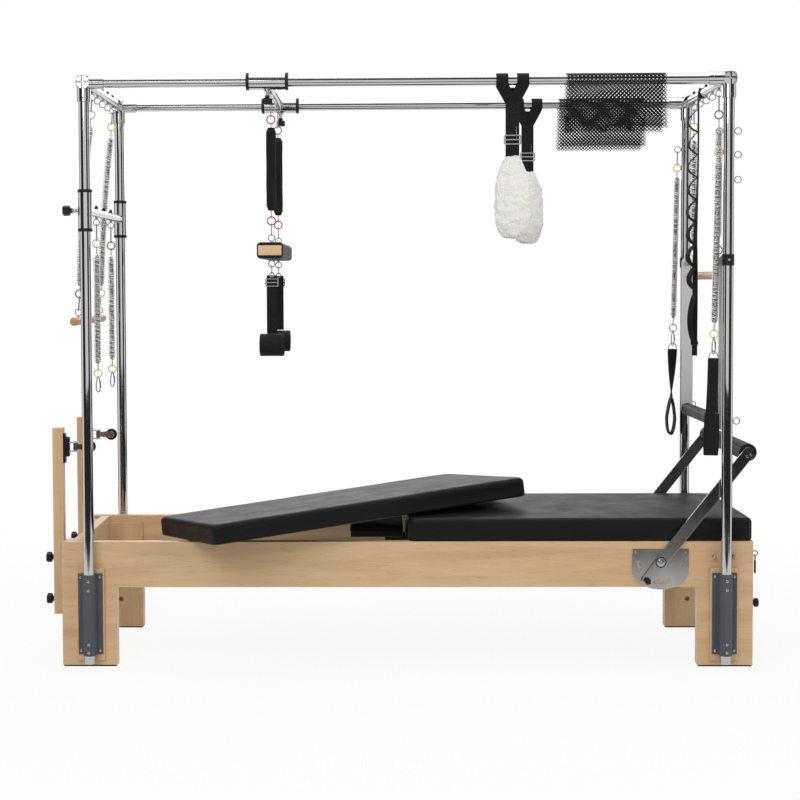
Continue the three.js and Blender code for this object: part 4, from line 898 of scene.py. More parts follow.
for side_name, side in SIDES:
    rail = Maker()
    slab(rail, rail_outline(), side * (HALF_WIDTH - RAIL_THICK), side * HALF_WIDTH, "maple_along", 2.5)
    for end_name, end in ENDS:
        inner_leg(rail, end, side)
        rail.block((end * POST_X - PLATE_HALF, side * (HALF_WIDTH - 0.5), PLATE_LOW),
                   (end * POST_X + PLATE_HALF, side * (HALF_WIDTH + PLATE_THICK), PLATE_HIGH),
                   "maple_up", 3.0)
    rail.build(f"rail_{side_name}", "frame", "maple", f"side_rail_{side_name}")

# %% [markdown]
# The near rail also carries small hardware: two ring bolts beside the right post, and on its right end a ring
# with a snap hook and a short strap, over a black knob.

# %% Hardware on the near rail
RAIL_EYE_SPREAD, RAIL_EYE_Z, RAIL_EYE_RADIUS = 35.0, 393.0, 8.0
END_RING_Z, END_KNOB_Z = 400, 224
hardware = Maker()
for side in (-1, 1):
    x = POST_X + side * RAIL_EYE_SPREAD
    centre = (x, -HALF_WIDTH - RAIL_EYE_RADIUS - 2.5, RAIL_EYE_Z)
    hardware.ring(centre, RAIL_EYE_RADIUS, 2.5, "zinc", axis="X")
    hardware.rod((x, -HALF_WIDTH + 2, RAIL_EYE_Z), (x, -HALF_WIDTH - 4, RAIL_EYE_Z), 2.5, "zinc", 16)
    hardware.rod((x, -HALF_WIDTH + 1, RAIL_EYE_Z), (x, -HALF_WIDTH - 1.6, RAIL_EYE_Z), 7, "zinc", 24)
end_y, ring_x = -HALF_WIDTH + LEG_THICK / 2, HALF_LENGTH + 11.5
hardware.ring((ring_x, end_y, END_RING_Z), 9, 2.5, "zinc")
hardware.rod((HALF_LENGTH - 2, end_y, END_RING_Z), (HALF_LENGTH + 4, end_y, END_RING_Z), 2.5, "zinc", 16)
hardware.ring((ring_x, end_y, END_RING_Z - 17), 9, 1.7, "zinc", axis="X", ratio=1.35)
band(hardware, [(ring_x, end_y, z) for z in (374, 362, 346, 330)], 20, 3.4, (1, 0, 0))
hardware.lathe((HALF_LENGTH - 2, end_y, END_KNOB_Z), (HALF_LENGTH + 24, end_y, END_KNOB_Z),
               [(0, 7), (8, 7), (10, 13), (12, 15.4), (22, 16), (25, 13.5), (26, 11)], "black_plastic")
hardware.build("rail_hardware", "frame", "chrome")

# %% [markdown]
# The end boards stand between the legs. The left one carries two blocks, and each riser hangs on its block
# by two bolts with star knobs. The knobs have five lobes, so their section is a circle with a wave on it.

# %% End boards and riser mounts
BOARD_OUT = HALF_LENGTH - 30
RISER_Y, RISER_SIZE = 232.0, 38.0
BLOCK_FACE = -(BOARD_OUT + 39)
RISER_FACE = BLOCK_FACE - 0.3
KNOB_FACE = BLOCK_FACE - RISER_SIZE - 0.6
KNOB_LOBES, KNOB_SIDES = 5, 60
RISER_BOLTS = (223, 374)
TRACK_IN, TRACK_OUT, TRACK_LOW, TRACK_HIGH = 268.0, 304.7, 318.0, 330.0
TRACK_END, LEG_FACE = HALF_LENGTH - LEG_WIDTH - 0.3, HALF_WIDTH - LEG_THICK - 0.3


def star_section(radius, depth):
    """A circle with lobes."""
    points = []
    for i in range(KNOB_SIDES):
        angle = 2 * math.pi * i / KNOB_SIDES
        r = radius - depth * (0.5 - 0.5 * math.cos(KNOB_LOBES * angle))
        points.append((r * math.cos(angle), r * math.sin(angle)))
    return points


def star_knob(maker, start, end, radius):
    """A moulded star knob: a neck, lobes with soft edges and a flat face."""
    start, end = Vector(start), Vector(end)
    line = [start + (end - start) * t for t in (0, 0.22, 0.30, 0.38, 0.88, 0.97, 1.0)]
    sizes = (0.5, 0.5, 0.8, 0.97, 1.0, 0.93, 0.82)
    maker.sweep(line, star_section(radius, radius * 0.22), "black_plastic", sizes=sizes)


for end_name, end in ENDS:
    board = Maker()
    board.block((end * (BOARD_OUT - 35), -LEG_FACE, RAIL_BOTTOM), (end * BOARD_OUT, LEG_FACE, RAIL_TOP),
                "maple_across", 2.5)
    for side in (-1, 1):
        y = side * RISER_Y
        if end < 0:
            board.block((BLOCK_FACE, y - RISER_SIZE / 2, 195), (-BOARD_OUT + 1, y + RISER_SIZE / 2, 440),
                        "maple_up", 2.5)
            for z in RISER_BOLTS:
                board.rod((BLOCK_FACE + 4, y, z), (KNOB_FACE - 4, y, z), 5, "zinc", 20)
                board.rod((KNOB_FACE + 0.3, y, z), (KNOB_FACE - 2, y, z), 12, "zinc", 28)
                star_knob(board, (KNOB_FACE - 1, y, z), (KNOB_FACE - 28, y, z), 20)
        else:
            board.block((-TRACK_END, side * TRACK_IN, TRACK_LOW), (TRACK_END, side * TRACK_OUT, TRACK_HIGH),
                        "zinc", 1.0)
            board.block((TRACK_END - 4.7, side * TRACK_IN, TRACK_LOW),
                        (BOARD_OUT - 34, side * LEG_FACE, TRACK_HIGH), "zinc", 1.0)
    board.build(f"board_{end_name}", "frame", "maple", f"end_board_{end_name}")
print("end boards at", BOARD_OUT)

# %% [markdown]
# Each riser is a wooden post with two slots, so that it can be set higher or lower. A black holder at its top
# carries the pulley between two steel lips.

# %% Risers
RISER_LOW, RISER_HIGH, SLOT_HALF, SLOT_TRAVEL = 170.0, 845.0, 5.3, 120.0
PULLEY_Z, PIN_X = 776.0, RISER_FACE + 22 + 30 - 9 - 0.3


def riser_with_slots(maker, y):
    """Two cheeks beside the slots, and the solid lengths between them."""
    back, overlap = RISER_FACE - RISER_SIZE, SLOT_HALF + 1.5
    for side in (-1, 1):
        maker.block((back, y + side * RISER_SIZE / 2, RISER_LOW),
                    (RISER_FACE, y + side * SLOT_HALF, RISER_HIGH), "maple_up")
    starts = [RISER_LOW + 0.4] + [z + SLOT_TRAVEL + SLOT_HALF for z in RISER_BOLTS]
    stops = [z - SLOT_HALF for z in RISER_BOLTS] + [RISER_HIGH - 0.4]
    for z0, z1 in zip(starts, stops):
        maker.block((back + 0.5, y - overlap, z0), (RISER_FACE - 0.5, y + overlap, z1), "maple_up", 1.0)


for side_name, side in SIDES:
    y = side * RISER_Y
    riser = Maker()
    riser_with_slots(riser, y)
    riser.block((RISER_FACE - 1, y - 16, 717), (RISER_FACE + 8, y + 16, 825), "black_plastic", 4.0, steps=4)
    riser.block((RISER_FACE + 2, y - 12, 740), (RISER_FACE + 22, y + 12, 812), "black_plastic", 5.0, steps=4)
    for turn in (-1, 1):
        riser.block((RISER_FACE + 17, y - 9, PULLEY_Z + turn * 13),
                    (RISER_FACE + 52, y + 9, PULLEY_Z + turn * 19), "zinc", 2.5, steps=3)
    for z in (728, 816):
        riser.rod((RISER_FACE + 6, y, z), (RISER_FACE + 10, y, z), 4, "zinc", 20)
    riser.rod((PIN_X, y, PULLEY_Z - 20), (PIN_X, y, PULLEY_Z + 20), 4, "zinc", 20)
    node = f"riser_{side_name}"
    riser.build(node, node, "maple", node)

# %% [markdown]
# The pulley swivels on its pin. Two steel cheeks hold a grooved wheel between them.

# %% Pulleys
WHEEL_X = PIN_X + 51
GROOVE = [(0, 12), (0.4, 20.8), (1.4, 21.8), (2.6, 21.2), (4.4, 17.5), (7, 16.2)]
GROOVE += [(14 - depth, radius) for depth, radius in reversed(GROOVE[:-1])]
for side_name, side in SIDES:
    y = side * RISER_Y
    pulley = Maker()
    pulley.lathe((PIN_X, y, PULLEY_Z - 12.7), (PIN_X, y, PULLEY_Z + 12.7),
                 [(0, 6), (0.8, 8.6), (24.6, 8.6), (25.4, 6)], "zinc")
    outline = [(PIN_X + 4, PULLEY_Z - 8), (WHEEL_X - 8, PULLEY_Z - 13)]
    outline += arc(WHEEL_X, PULLEY_Z, 14, -90, 90, 12)
    outline += [(WHEEL_X - 8, PULLEY_Z + 13), (PIN_X + 4, PULLEY_Z + 8)]
    for turn in (-1, 1):
        slab(pulley, outline, y + turn * 7.2, y + turn * 9.9, "zinc", 0.6)
    pulley.lathe((WHEEL_X, y - 7, PULLEY_Z), (WHEEL_X, y + 7, PULLEY_Z), GROOVE, "black_plastic", 40)
    pulley.rod((WHEEL_X, y - 9.98, PULLEY_Z), (WHEEL_X, y + 9.98, PULLEY_Z), 6.5, "drum_red", 24)
    node = f"pulley_{side_name}"
    pulley.build(node, node, "black_plastic", node)

# %% [markdown]
# ## The canopy
#
# The posts and top rails are polished steel tubes. Each post has a steel ferrule round its foot. The right
# posts also carry ring bolts and the pins that the push-through bar turns on.

# %% Posts
FOOT_Z, EYE_RADIUS, EYE_WIRE = 20.0, 11.5, 2.0
PUSH_Z, PUSH_INNER = 1438.0, 331.0
POST_EYES = (TOP_Z - 181, TOP_Z - 263, TOP_Z - 349, 876.0)


def screw_eye(maker, tip, centre):
    """A ring bolt: a ring about Y, on a shank that comes from a tip with a small collar."""
    tip, centre = Vector(tip), Vector(centre)
    towards = (centre - tip).normalized()
    maker.ring(centre, EYE_RADIUS, EYE_WIRE, "zinc")
    maker.rod(tip, centre - towards * (EYE_RADIUS - 0.5), 3, "zinc", 20)
    maker.rod(tip + towards * 1.0, tip + towards * 4.5, 5, "zinc", 6)


for end_name, end in ENDS:
    for side_name, side in SIDES:
        x, y = end * POST_X, side * POST_Y
        post = Maker()
        post.rod((x, y, FOOT_Z), (x, y, TOP_Z - 24.3), POST_RADIUS, "chrome", 48)
        post.lathe((x, y, FOOT_Z), (x, y, 60),
                   [(0, 15), (1, 17), (2, 19.1), (26, 19.1), (27, 18.8)], "zinc", 40)
        if end > 0:
            reach = POST_RADIUS + EYE_RADIUS + EYE_WIRE
            for z in POST_EYES:
                screw_eye(post, (x + POST_RADIUS - 1, y, z), (x + reach, y, z))
            screw_eye(post, (x - POST_RADIUS + 1, y, POST_EYES[0]), (x - reach, y, POST_EYES[0]))
            nut_face = side * (PUSH_INNER - 8)
            post.lathe((x, y - side * 17, PUSH_Z), (x, nut_face, PUSH_Z),
                       [(0, 9), (1, 11), (7, 11), (8, 8), (27.5, 8), (27.6, 8), (29, 8), (36, 8), (37, 7)],
                       "zinc", 24)
            post.rod((x, side * (PUSH_INNER - 0.3), PUSH_Z), (x, nut_face, PUSH_Z), 13, "zinc", 6)
            post.lathe((x, y, PUSH_Z - 20), (x, y, PUSH_Z + 20),
                       [(0, 19.3), (1, 21.4), (39, 21.4), (40, 19.3)], "black_plastic", 40)
            post.rod((x, y - 19, PUSH_Z), (x, y - 23.5, PUSH_Z), 5, "zinc", 6)
        node = f"post_{end_name}_{side_name}"
        post.build(node, "frame", "chrome", node)

# %% [markdown]
# Each post stands in a powder-coated bracket: a fluted half-round collar between two flanges, screwed to a
# wooden plate.

# %% Brackets
BRACKET_LOW, BRACKET_HIGH, BRACKET_HALF = 49.0, 337.0, 43.5
FLANGE_BACK = HALF_WIDTH + PLATE_THICK + 0.3
FLUTES, COLLAR_RADIUS = 5, 22.4


def bracket_outline(side):
    """Half of a fluted collar between two flanges, seen from above."""
    back, face, half = FLANGE_BACK, FLANGE_BACK + 5, BRACKET_HALF
    flange = [(half, back), (half, face - 1), (half - 1, face), (25, face), (23.6, face + 1.5)]
    points = flange[:]
    for i in range(61):
        angle = math.radians(-12 + 204 * i / 60)
        radius = COLLAR_RADIUS - 0.8 * max(0.0, math.cos(FLUTES * 2 * (angle - math.pi / 2))) ** 4
        points.append((radius * math.cos(angle), POST_Y + radius * math.sin(angle)))
    points += [(-x, y) for x, y in reversed(flange)]
    return [(x, side * y) for x, y in points]


def pan_screw(maker, place, side, radius):
    """A round-headed screw with a hexagon hollow, that faces out along Y."""
    place, out = Vector(place), Vector((0, side, 0))
    shares = ((0, 1), (0.6, 1), (1.6, 0.88), (2.5, 0.55), (2.6, 0.45))
    maker.lathe(place, place + out, [(depth, radius * share) for depth, share in shares], "zinc", 24)
    maker.rod(place + out * 1.2, place + out * 2.66, radius * 0.36, "black_plastic", 6, edge=0.1)


for end_name, end in ENDS:
    for side_name, side in SIDES:
        bracket = Maker()
        x0, back = end * POST_X, side * FLANGE_BACK
        rings = []
        for z, shrink in ((BRACKET_LOW, 0.985), (BRACKET_LOW + 1, 1),
                          (BRACKET_HIGH - 1, 1), (BRACKET_HIGH, 0.985)):
            ring = [(x0 + x * shrink, back + (y - back) * shrink, z) for x, y in bracket_outline(side)]
            rings.append(ring[::side])
        bracket.skin(rings, "powder_coat")
        for z in (BRACKET_LOW + 13, BRACKET_HIGH - 13):
            for x in (-33, 33):
                pan_screw(bracket, (x0 + x, side * (FLANGE_BACK + 5), z), side, 5)
        for z in (BRACKET_LOW + 13, BRACKET_LOW + 42, BRACKET_HIGH - 54, BRACKET_HIGH - 22):
            pan_screw(bracket, (x0, side * (POST_Y + 20.6), z), side, 5)
        place_name = f"{end_name}_{side_name}"
        bracket.build(f"bracket_{place_name}", "frame", "powder_coat", f"post_bracket_{place_name}")

# %% [markdown]
# The top rails are plain tubes, and they end inside the corner pieces.

# %% Top rails
for side_name, side in SIDES:
    rail = Maker()
    y, half = side * POST_Y, POST_X - 23
    rail.rod((-half, y, TOP_Z), (half, y, TOP_Z), POST_RADIUS, "chrome", 48)
    rail.build(f"top_rail_{side_name}", "frame", "chrome", f"top_rail_{side_name}")

# %% [markdown]
# A corner piece is three short sleeves that grip the rail, the post and the cross tube. Under each cross
# tube hang ring bolts, and their acorn nuts show on top of it.

# %% Cross bars with their ring bolts
CROSS_RADIUS, CORNER_RADIUS, CORNER_END, CORNER_REACH, EYE_DROP = 16.0, 24.0, 23.5, 72, 33.0


def tube_sleeve(maker, start, end, radius):
    """A sleeve over a tube, with rolled edges."""
    length = (Vector(end) - Vector(start)).length
    profile = [(0, radius - 2.5), (0.6, radius - 0.8), (2, radius)]
    profile += [(length - depth, r) for depth, r in reversed(profile)]
    maker.lathe(start, end, profile, "chrome", 48)


def hanging_eyes(maker, x, z, places):
    """Ring bolts under a cross tube, with acorn nuts on top."""
    for y in places:
        screw_eye(maker, (x, y, z - CROSS_RADIUS + 1), (x, y, z - EYE_DROP))
        profile = [(0, 5.5), (1, 6.3), (6, 6.3), (9, 5.6), (12, 3.6), (13.6, 1.2), (13.9, 0.3)]
        maker.lathe((x, y, z + CROSS_RADIUS - 1), (x, y, z + CROSS_RADIUS + 10), profile, "black_plastic", 20)


for end_name, end in ENDS:
    x = end * POST_X
    bar = Maker()
    bar.rod((x, -POST_Y + 20, TOP_Z), (x, POST_Y - 20, TOP_Z), CROSS_RADIUS, "chrome", 40)
    for side in (-1, 1):
        y = side * POST_Y
        corner = Vector((x, y, TOP_Z))
        for out, reach in (((0, 0, 1), 68), ((end, 0, 0), CORNER_REACH), ((0, side, 0), CORNER_REACH)):
            out = Vector(out)
            tube_sleeve(bar, corner - out * reach, corner + out * CORNER_END, CORNER_RADIUS)
        for along, down in ((55, 0), (0, 55)):
            pan_screw(bar, (x - end * along, y + side * 22.8, TOP_Z - down), side, 3.2)
    hanging_eyes(bar, x, TOP_Z, (-220, -110, 0, 110, 220))
    bar.build(f"top_bar_{end_name}", "frame", "chrome", f"top_bar_{end_name}")

# %% [markdown]
# Two cross bars slide: one up and down the left posts, one along the top rails. Both end in sleeves with a
# black plastic band at each end.

# %% Sliding bars
MID_Z, SLIDER_X = TOP_Z - 445, -480.0
BAND, BAND_OVER, SLEEVE_HALF = 12.0, 1.5, 74


def banded_sleeve(maker, start, end, radius):
    """A chrome sleeve with a plastic band round each end."""
    start, end = Vector(start), Vector(end)
    along = (end - start).normalized()
    tube_sleeve(maker, start + along, end - along, radius)
    profile = [(0, radius - 3), (0.5, radius + 0.5), (1.5, radius + BAND_OVER),
               (BAND - 1.5, radius + BAND_OVER), (BAND, radius - 0.5)]
    for place, step in ((start, along), (end, -along)):
        maker.lathe(place, place + step * BAND, profile, "black_plastic", 48)


mid = Maker()
mid.rod((-POST_X, -POST_Y + 20, MID_Z), (-POST_X, POST_Y - 20, MID_Z), CROSS_RADIUS, "chrome", 40)
for side in (-1, 1):
    y = side * POST_Y
    banded_sleeve(mid, (-POST_X, y, MID_Z - SLEEVE_HALF), (-POST_X, y, MID_Z + SLEEVE_HALF), CORNER_RADIUS)
hanging_eyes(mid, -POST_X, MID_Z, (-155, 0, 155))
mid.rod((-POST_X - 22, -POST_Y, MID_Z), (-POST_X - 27, -POST_Y, MID_Z), 12, "chrome", 28)
mid.build("mid_bar", "mid_bar", "chrome", "mid_bar")

slide = Maker()
slide.rod((SLIDER_X, -POST_Y + 24, TOP_Z), (SLIDER_X, POST_Y - 24, TOP_Z), CROSS_RADIUS, "chrome", 40)
for side in (-1, 1):
    y = side * POST_Y
    banded_sleeve(slide, (SLIDER_X - SLEEVE_HALF, y, TOP_Z), (SLIDER_X + SLEEVE_HALF, y, TOP_Z), 29)
    slide.rod((SLIDER_X, y, TOP_Z - 27), (SLIDER_X, y, TOP_Z - 34), 12, "chrome", 28)
hanging_eyes(slide, SLIDER_X, TOP_Z, (-200, 200))
slide.build("trapeze_slider", "trapeze_slider", "chrome", "trapeze_slider")

# %% [markdown]
# A star knob screws through each sleeve of the slider, and through one of the mid bar's, to hold them.

# %% Knobs
knob = Maker()
knob.rod((-POST_X - POST_RADIUS - 1, -POST_Y, MID_Z), (-POST_X - 46, -POST_Y, MID_Z), 8.5, "zinc", 28)
star_knob(knob, (-POST_X - 42, -POST_Y, MID_Z), (-POST_X - 77.6, -POST_Y, MID_Z), 19)
knob.build("mid_bar_knob", "mid_bar_knob", "black_plastic", "mid_bar_knob")
for side_name, side in SIDES:
    knob = Maker()
    y = side * POST_Y
    knob.rod((SLIDER_X, y, TOP_Z - POST_RADIUS - 1), (SLIDER_X, y, TOP_Z - 52), 6, "zinc", 24)
    star_knob(knob, (SLIDER_X, y, TOP_Z - 49), (SLIDER_X, y, TOP_Z - 80.6), 18)
    node = f"slider_knob_{side_name}"
    knob.build(node, node, "black_plastic", node)

# %% [markdown]
# ## Springs
#
# A trapeze table's springs are closely wound steel wire about 25 mm across, and look like ribbed rods. The
# turns are drawn thicker and a little further apart than real ones, so that they show from a distance. Each
# spring hangs on a chain: a link in the ring bolt, a coloured ring that tells its strength, a hook, the coil,
# and the same again below, down to a snap hook or the eye of a bar. All of it is drawn hanging straight down
# from the ring bolt's centre, then turned to its lean.

# %% Parts of a chain
COIL_OUTER, TURN_STEPS, HOOK_WIRE = 12.6, 18, 2.2
COILS = {"near": (7.6, 3.1), "far": (9.4, 3.7)}  # pitch, wire radius
LINK_TOP, LINK_HALF, LINK_WIRE, RING_RADIUS, RING_WIRE = 6.3, 7.0, 1.6, 14.5, 2.1
RING_INNER = RING_RADIUS - RING_WIRE
HOOK_TURN = (math.sin(math.radians(55)), math.cos(math.radians(55)))


def chain_link(maker, top, bottom):
    """A closed link of wire with round ends, in YZ, from one depth to another."""
    high, low = LINK_WIRE - top - LINK_HALF, LINK_HALF - bottom - LINK_WIRE
    line = arc(0, high, LINK_HALF, 0, 180, 10) + arc(0, low, LINK_HALF, 180, 360, 10)
    maker.tube([(0, y, z) for y, z in line], LINK_WIRE, "zinc", sides=10, closed=True)


def coloured_ring(maker, depth, finish):
    """The ring between a link and a hook, which tells the spring's strength."""
    maker.ring((0, 0, -depth), RING_RADIUS, RING_WIRE, finish, sides=14)


def snap_hook(maker, top, bottom):
    """A snap hook: a pear of wire with a gate, turned partly to the viewer."""
    half, wire, middle = 10.5, 2.2, -(top + bottom) / 2
    x, y = HOOK_TURN
    line = []
    for angle in (math.radians(90 + 360 * t / 32) for t in range(32)):
        across = half * (0.72 - 0.28 * math.sin(angle)) * math.cos(angle)
        line.append((across * x, across * y, middle + ((bottom - top) / 2 - wire) * math.sin(angle)))
    maker.tube(line, wire, "zinc", sides=12, closed=True)
    maker.rod((7.6 * x, 7.6 * y, middle + 12), (9.2 * x, 9.2 * y, middle - 14), 2.9, "zinc", 16)


def hook_wire(maker, ring_depth, coil_depth):
    """The wire that leaves the coil's end and curls round a ring above or below it."""
    toward = -1 if coil_depth > ring_depth else 1
    centre = -ring_depth + toward * RING_RADIUS
    bend = RING_WIRE + HOOK_WIRE + 0.2
    line = [(0, 0, -coil_depth), (0, 0, (centre + toward * bend - coil_depth) / 2)]
    line += [(0, x, centre + toward * z) for z, x in arc(0, 0, bend, 0, 270, 14)]
    maker.tube(line, HOOK_WIRE, "spring_steel", sides=10)


def coil(maker, top, bottom, pitch, wire):
    """A closely wound coil, with its end turns drawn in towards the hooks."""
    turns = max(2, round((bottom - top - 2 * wire) / pitch))
    line = []
    for k in range(turns * TURN_STEPS + 1):
        t = k / TURN_STEPS
        angle = 2 * math.pi * t
        near_end = min(t, turns - t)
        radius = (COIL_OUTER - wire) * min(1.0, 0.35 + 0.5 * near_end)
        z = -top - wire - (bottom - top - 2 * wire) * t / turns
        line.append((radius * math.cos(angle), radius * math.sin(angle), z))
    maker.tube(line, wire, "spring_steel", sides=8)
    return turns


def hang(place, lean=0.0):
    """A matrix that hangs a chain at a point in the bed's millimetres, leaning about Y in degrees."""
    return Matrix.Translation(Vector(place)) @ Matrix.Rotation(math.radians(lean), 4, "Y")


print("rings", 2 * RING_RADIUS, "mm wide")

# %% [markdown]
# The four pairs of long springs differ in their lengths, lean and ring colours. The pairs that carry a
# bar or a handle stretch when it is pulled down; here they are drawn at rest and ride on no body. The
# pair at the upper left bows a little outwards, as a long spring does, and so passes the mid bar.

# %% Steel springs
EYE_TOP, EYE_MID, BAR_EYE_Y = TOP_Z - EYE_DROP, MID_Z - EYE_DROP, 220
POST_EYE_X = POST_X - POST_RADIUS - EYE_RADIUS - EYE_WIRE
BAR_LEAN, HANDLE_LEAN = 4.25, 1.2
CHAINS = {
    # name: place of the eye, lean, ring, coil top, coil bottom, low ring, foot, snap hook at the foot
    "left_upper_spring": ((-POST_X, BAR_EYE_Y, EYE_TOP), BAR_LEAN, 62, 99, 682, 706, 766.8, False),
    "left_lower_spring": ((-POST_X, 155, EYE_MID), 0, 77, 115, 518, 551, 621, True),
    "right_upper_spring": ((POST_X, BAR_EYE_Y, EYE_TOP), 0, 75, 121, 517, 557, 608.8, False),
    "right_lower_spring": ((POST_EYE_X, POST_Y, POST_EYES[0]), HANDLE_LEAN, 72, 104, 669, 704, 775, True),
}
PULLED = {
    "left_upper_spring": ("left_upper_springs", "roll_down_bar"),
    "right_upper_spring": ("right_upper_springs", "hand_bar"),
}
ODD_COLOURS = {
    # spring: upper ring, lower ring
    "left_upper_spring_near": ("ring_yellow", "black_plastic"),
    "left_lower_spring_far": ("black_plastic", "ring_yellow"),
    "right_upper_spring_near": ("black_plastic", "black_plastic"),
    "right_lower_spring_far": ("ring_yellow", "zinc"),
}
BOWS = {"left_upper_spring": 7.0}

for chain_name, (place, lean, ring, top, bottom, low_ring, foot_depth, snap) in CHAINS.items():
    for side_name, side in SIDES:
        chain = Maker()
        node = f"{chain_name}_{side_name}"
        upper_colour, lower_colour = ODD_COLOURS.get(node, ("ring_yellow", "ring_yellow"))
        chain_link(chain, LINK_TOP, ring - RING_INNER + 2 * LINK_WIRE)
        coloured_ring(chain, ring, upper_colour)
        hook_wire(chain, ring, top)
        turns = coil(chain, top, bottom, *COILS[side_name])
        hook_wire(chain, low_ring, bottom)
        coloured_ring(chain, low_ring, lower_colour)
        if snap:
            snap_hook(chain, low_ring + RING_INNER - 4.4, foot_depth)
        else:
            chain_link(chain, low_ring + RING_INNER - 2 * LINK_WIRE, foot_depth)
        bow = BOWS.get(chain_name, 0.0)
        for point in chain.points:
            share = min(1.0, max(0.0, (-point.z - top) / (bottom - top)))
            point.x -= bow * math.sin(math.pi * share)
        matrix = hang((place[0], side * place[1], place[2]), lean)
        bodies = PULLED.get(chain_name)
        if chain_name == "right_lower_spring":
            bodies = (node, f"handle_strap_{side_name}")
        piece = chain.build(node, node, "chrome", node, matrix=matrix, ride=bodies is None)
        if bodies:
            start, end = (at(*(matrix @ Vector((0, 0, -depth)))) for depth in (top, bottom))
            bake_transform(piece)
        print(node, turns, "turns")

# %% [markdown]
# Two turned wooden bars hang on springs: the roll-down bar at the left and the hand bar at the right. Their
# ends are rounded, and each hangs by two ring bolts.

# %% Wooden bars
DOWEL_RADIUS, DOWEL_HALF = 15.0, 300.0


def wooden_bar(name, place, lean, depth):
    """A turned bar with ring bolts, hung at a depth below the eyes that carry its springs."""
    bar = Maker()
    profile = [(0, 8), (1.5, 11.5), (4, 14), (7, DOWEL_RADIUS)]
    profile += [(2 * DOWEL_HALF - step, radius) for step, radius in reversed(profile)]
    bar.lathe((0, -DOWEL_HALF, -depth), (0, DOWEL_HALF, -depth), profile, "beech_across", 40)
    for side in (-1, 1):
        top = DOWEL_RADIUS - depth
        screw_eye(bar, (0, side * BAR_EYE_Y, top - 1), (0, side * BAR_EYE_Y, top + 17))
    bar.build(name, name, "maple", name, matrix=hang(place, lean))


wooden_bar("roll_down_bar", (-POST_X, 0, EYE_TOP), BAR_LEAN, 805)
wooden_bar("hand_bar", (POST_X, 0, EYE_TOP), 0, 647)

# %% [markdown]
# ## The trapeze
#
# The trapeze hangs on two short springs inside black cloth sleeves, so only the sleeves show: soft tubes,
# gathered at both ends and creased along their length. Red rings mark these springs.

# %% Sleeved springs
SLEEVE_RING, SLEEVE_TOP, SLEEVE_END, SLEEVE_LOW_RING = 81, 110, 407, 444
SLEEVE_RADIUS, TRAPEZE_Y = 19.0, 200


def soft_tube(maker, top, bottom):
    """A cloth sleeve between two depths: gathered ends and shallow creases."""
    rings = []
    for t in (k / 48 for k in range(49)):
        z = -top - (bottom - top) * t
        gather = min(1.0, 0.62 + 7 * min(t, 1 - t))
        ring = []
        for x, y in round_section(1, 36):
            crease = noise.noise(Vector((x * 2.2, y * 2.2, z * 0.018)))
            r = SLEEVE_RADIUS * gather * (0.93 + 0.07 * crease)
            ring.append((r * x, r * y, z))
        rings.append(ring[::-1])
    maker.skin(rings, "sleeve_cloth")


for side_name, side in SIDES:
    chain = Maker()
    chain_link(chain, LINK_TOP, SLEEVE_RING - RING_INNER + 2 * LINK_WIRE)
    coloured_ring(chain, SLEEVE_RING, "ring_red")
    hook_wire(chain, SLEEVE_RING, SLEEVE_TOP + 6)
    hook_wire(chain, SLEEVE_LOW_RING, SLEEVE_END - 6)
    soft_tube(chain, SLEEVE_TOP, SLEEVE_END)
    for depth in (SLEEVE_TOP + 14, SLEEVE_END - 14):
        chain.ring((0, 0, -depth), 17.8, 0.8, "thread", axis="Z", steps=40, sides=6)
    coloured_ring(chain, SLEEVE_LOW_RING, "ring_red")
    chain_link(chain, SLEEVE_LOW_RING + RING_INNER - 2 * LINK_WIRE, 494)
    node = f"trapeze_spring_{side_name}"
    matrix = hang((SLIDER_X, side * TRAPEZE_Y, EYE_TOP))
    piece = chain.build(node, "trapeze_springs", "webbing", node, matrix=matrix, ride=False)
    start, end = (at(*(matrix @ Vector((0, 0, -depth)))) for depth in (SLEEVE_TOP, SLEEVE_END))
    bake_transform(piece)
    print(node, "blends over", round((start - end).length, 3), "m")

# %% [markdown]
# The trapeze bar is a flat wooden core in a padded black cover. The core shows at both ends, and the
# cover has a seam along each lower edge.

# %% Trapeze bar
BAR_Z = EYE_TOP - 552
PAD_WIDTH, PAD_HEIGHT, PAD_HALF = 95.0, 60.0, 300.0
bar = Maker()
section = box_section(PAD_WIDTH - 1, PAD_HEIGHT - 1, 14, 6)
rings = []
for t in (0, 0.004, 0.012, 0.03, 0.08, 0.2, 0.35, 0.5, 0.65, 0.8, 0.92, 0.97, 0.988, 0.996, 1):
    edge = min(t, 1 - t)
    grow = min(1.0, 0.93 + 5.5 * edge) - 0.012 * math.cos(2 * math.pi * 8 * t) * (edge > 0.02)
    y = -PAD_HALF + 2 * PAD_HALF * t
    rings.append([(SLIDER_X + across * grow, y, BAR_Z + out * grow) for across, out in section])
bar.skin(rings, "vinyl")
bar.build("trapeze_pad", "trapeze_bar", "vinyl", "trapeze_bar")
core = Maker()
core.block((SLIDER_X - 42, -PAD_HALF - 3, BAR_Z - 18), (SLIDER_X + 42, PAD_HALF + 3, BAR_Z + 18),
           "maple_across", 3.0)
for side in (-1, 1):
    y = side * TRAPEZE_Y
    for up in (1, -1):
        screw_eye(core, (SLIDER_X, y, BAR_Z + up * 29), (SLIDER_X, y, BAR_Z + up * 47))
    for edge in (-1, 1):
        seam = [(SLIDER_X + edge * 44.8, y0, BAR_Z - 24) for y0 in (side * 8, side * 150, side * 290)]
        core.tube(seam, 0.8, "thread", sides=6)
core.build("trapeze_core", "trapeze_bar", "maple")

# %% [markdown]
# Where a strap is sewn to itself, a box of stitches shows: short raised threads in a lighter black. Where its
# length can be set, it runs through a wire slide.

# %% Stitches and slides
STITCH_STEP, STITCH_LENGTH = 5.0, 3.0


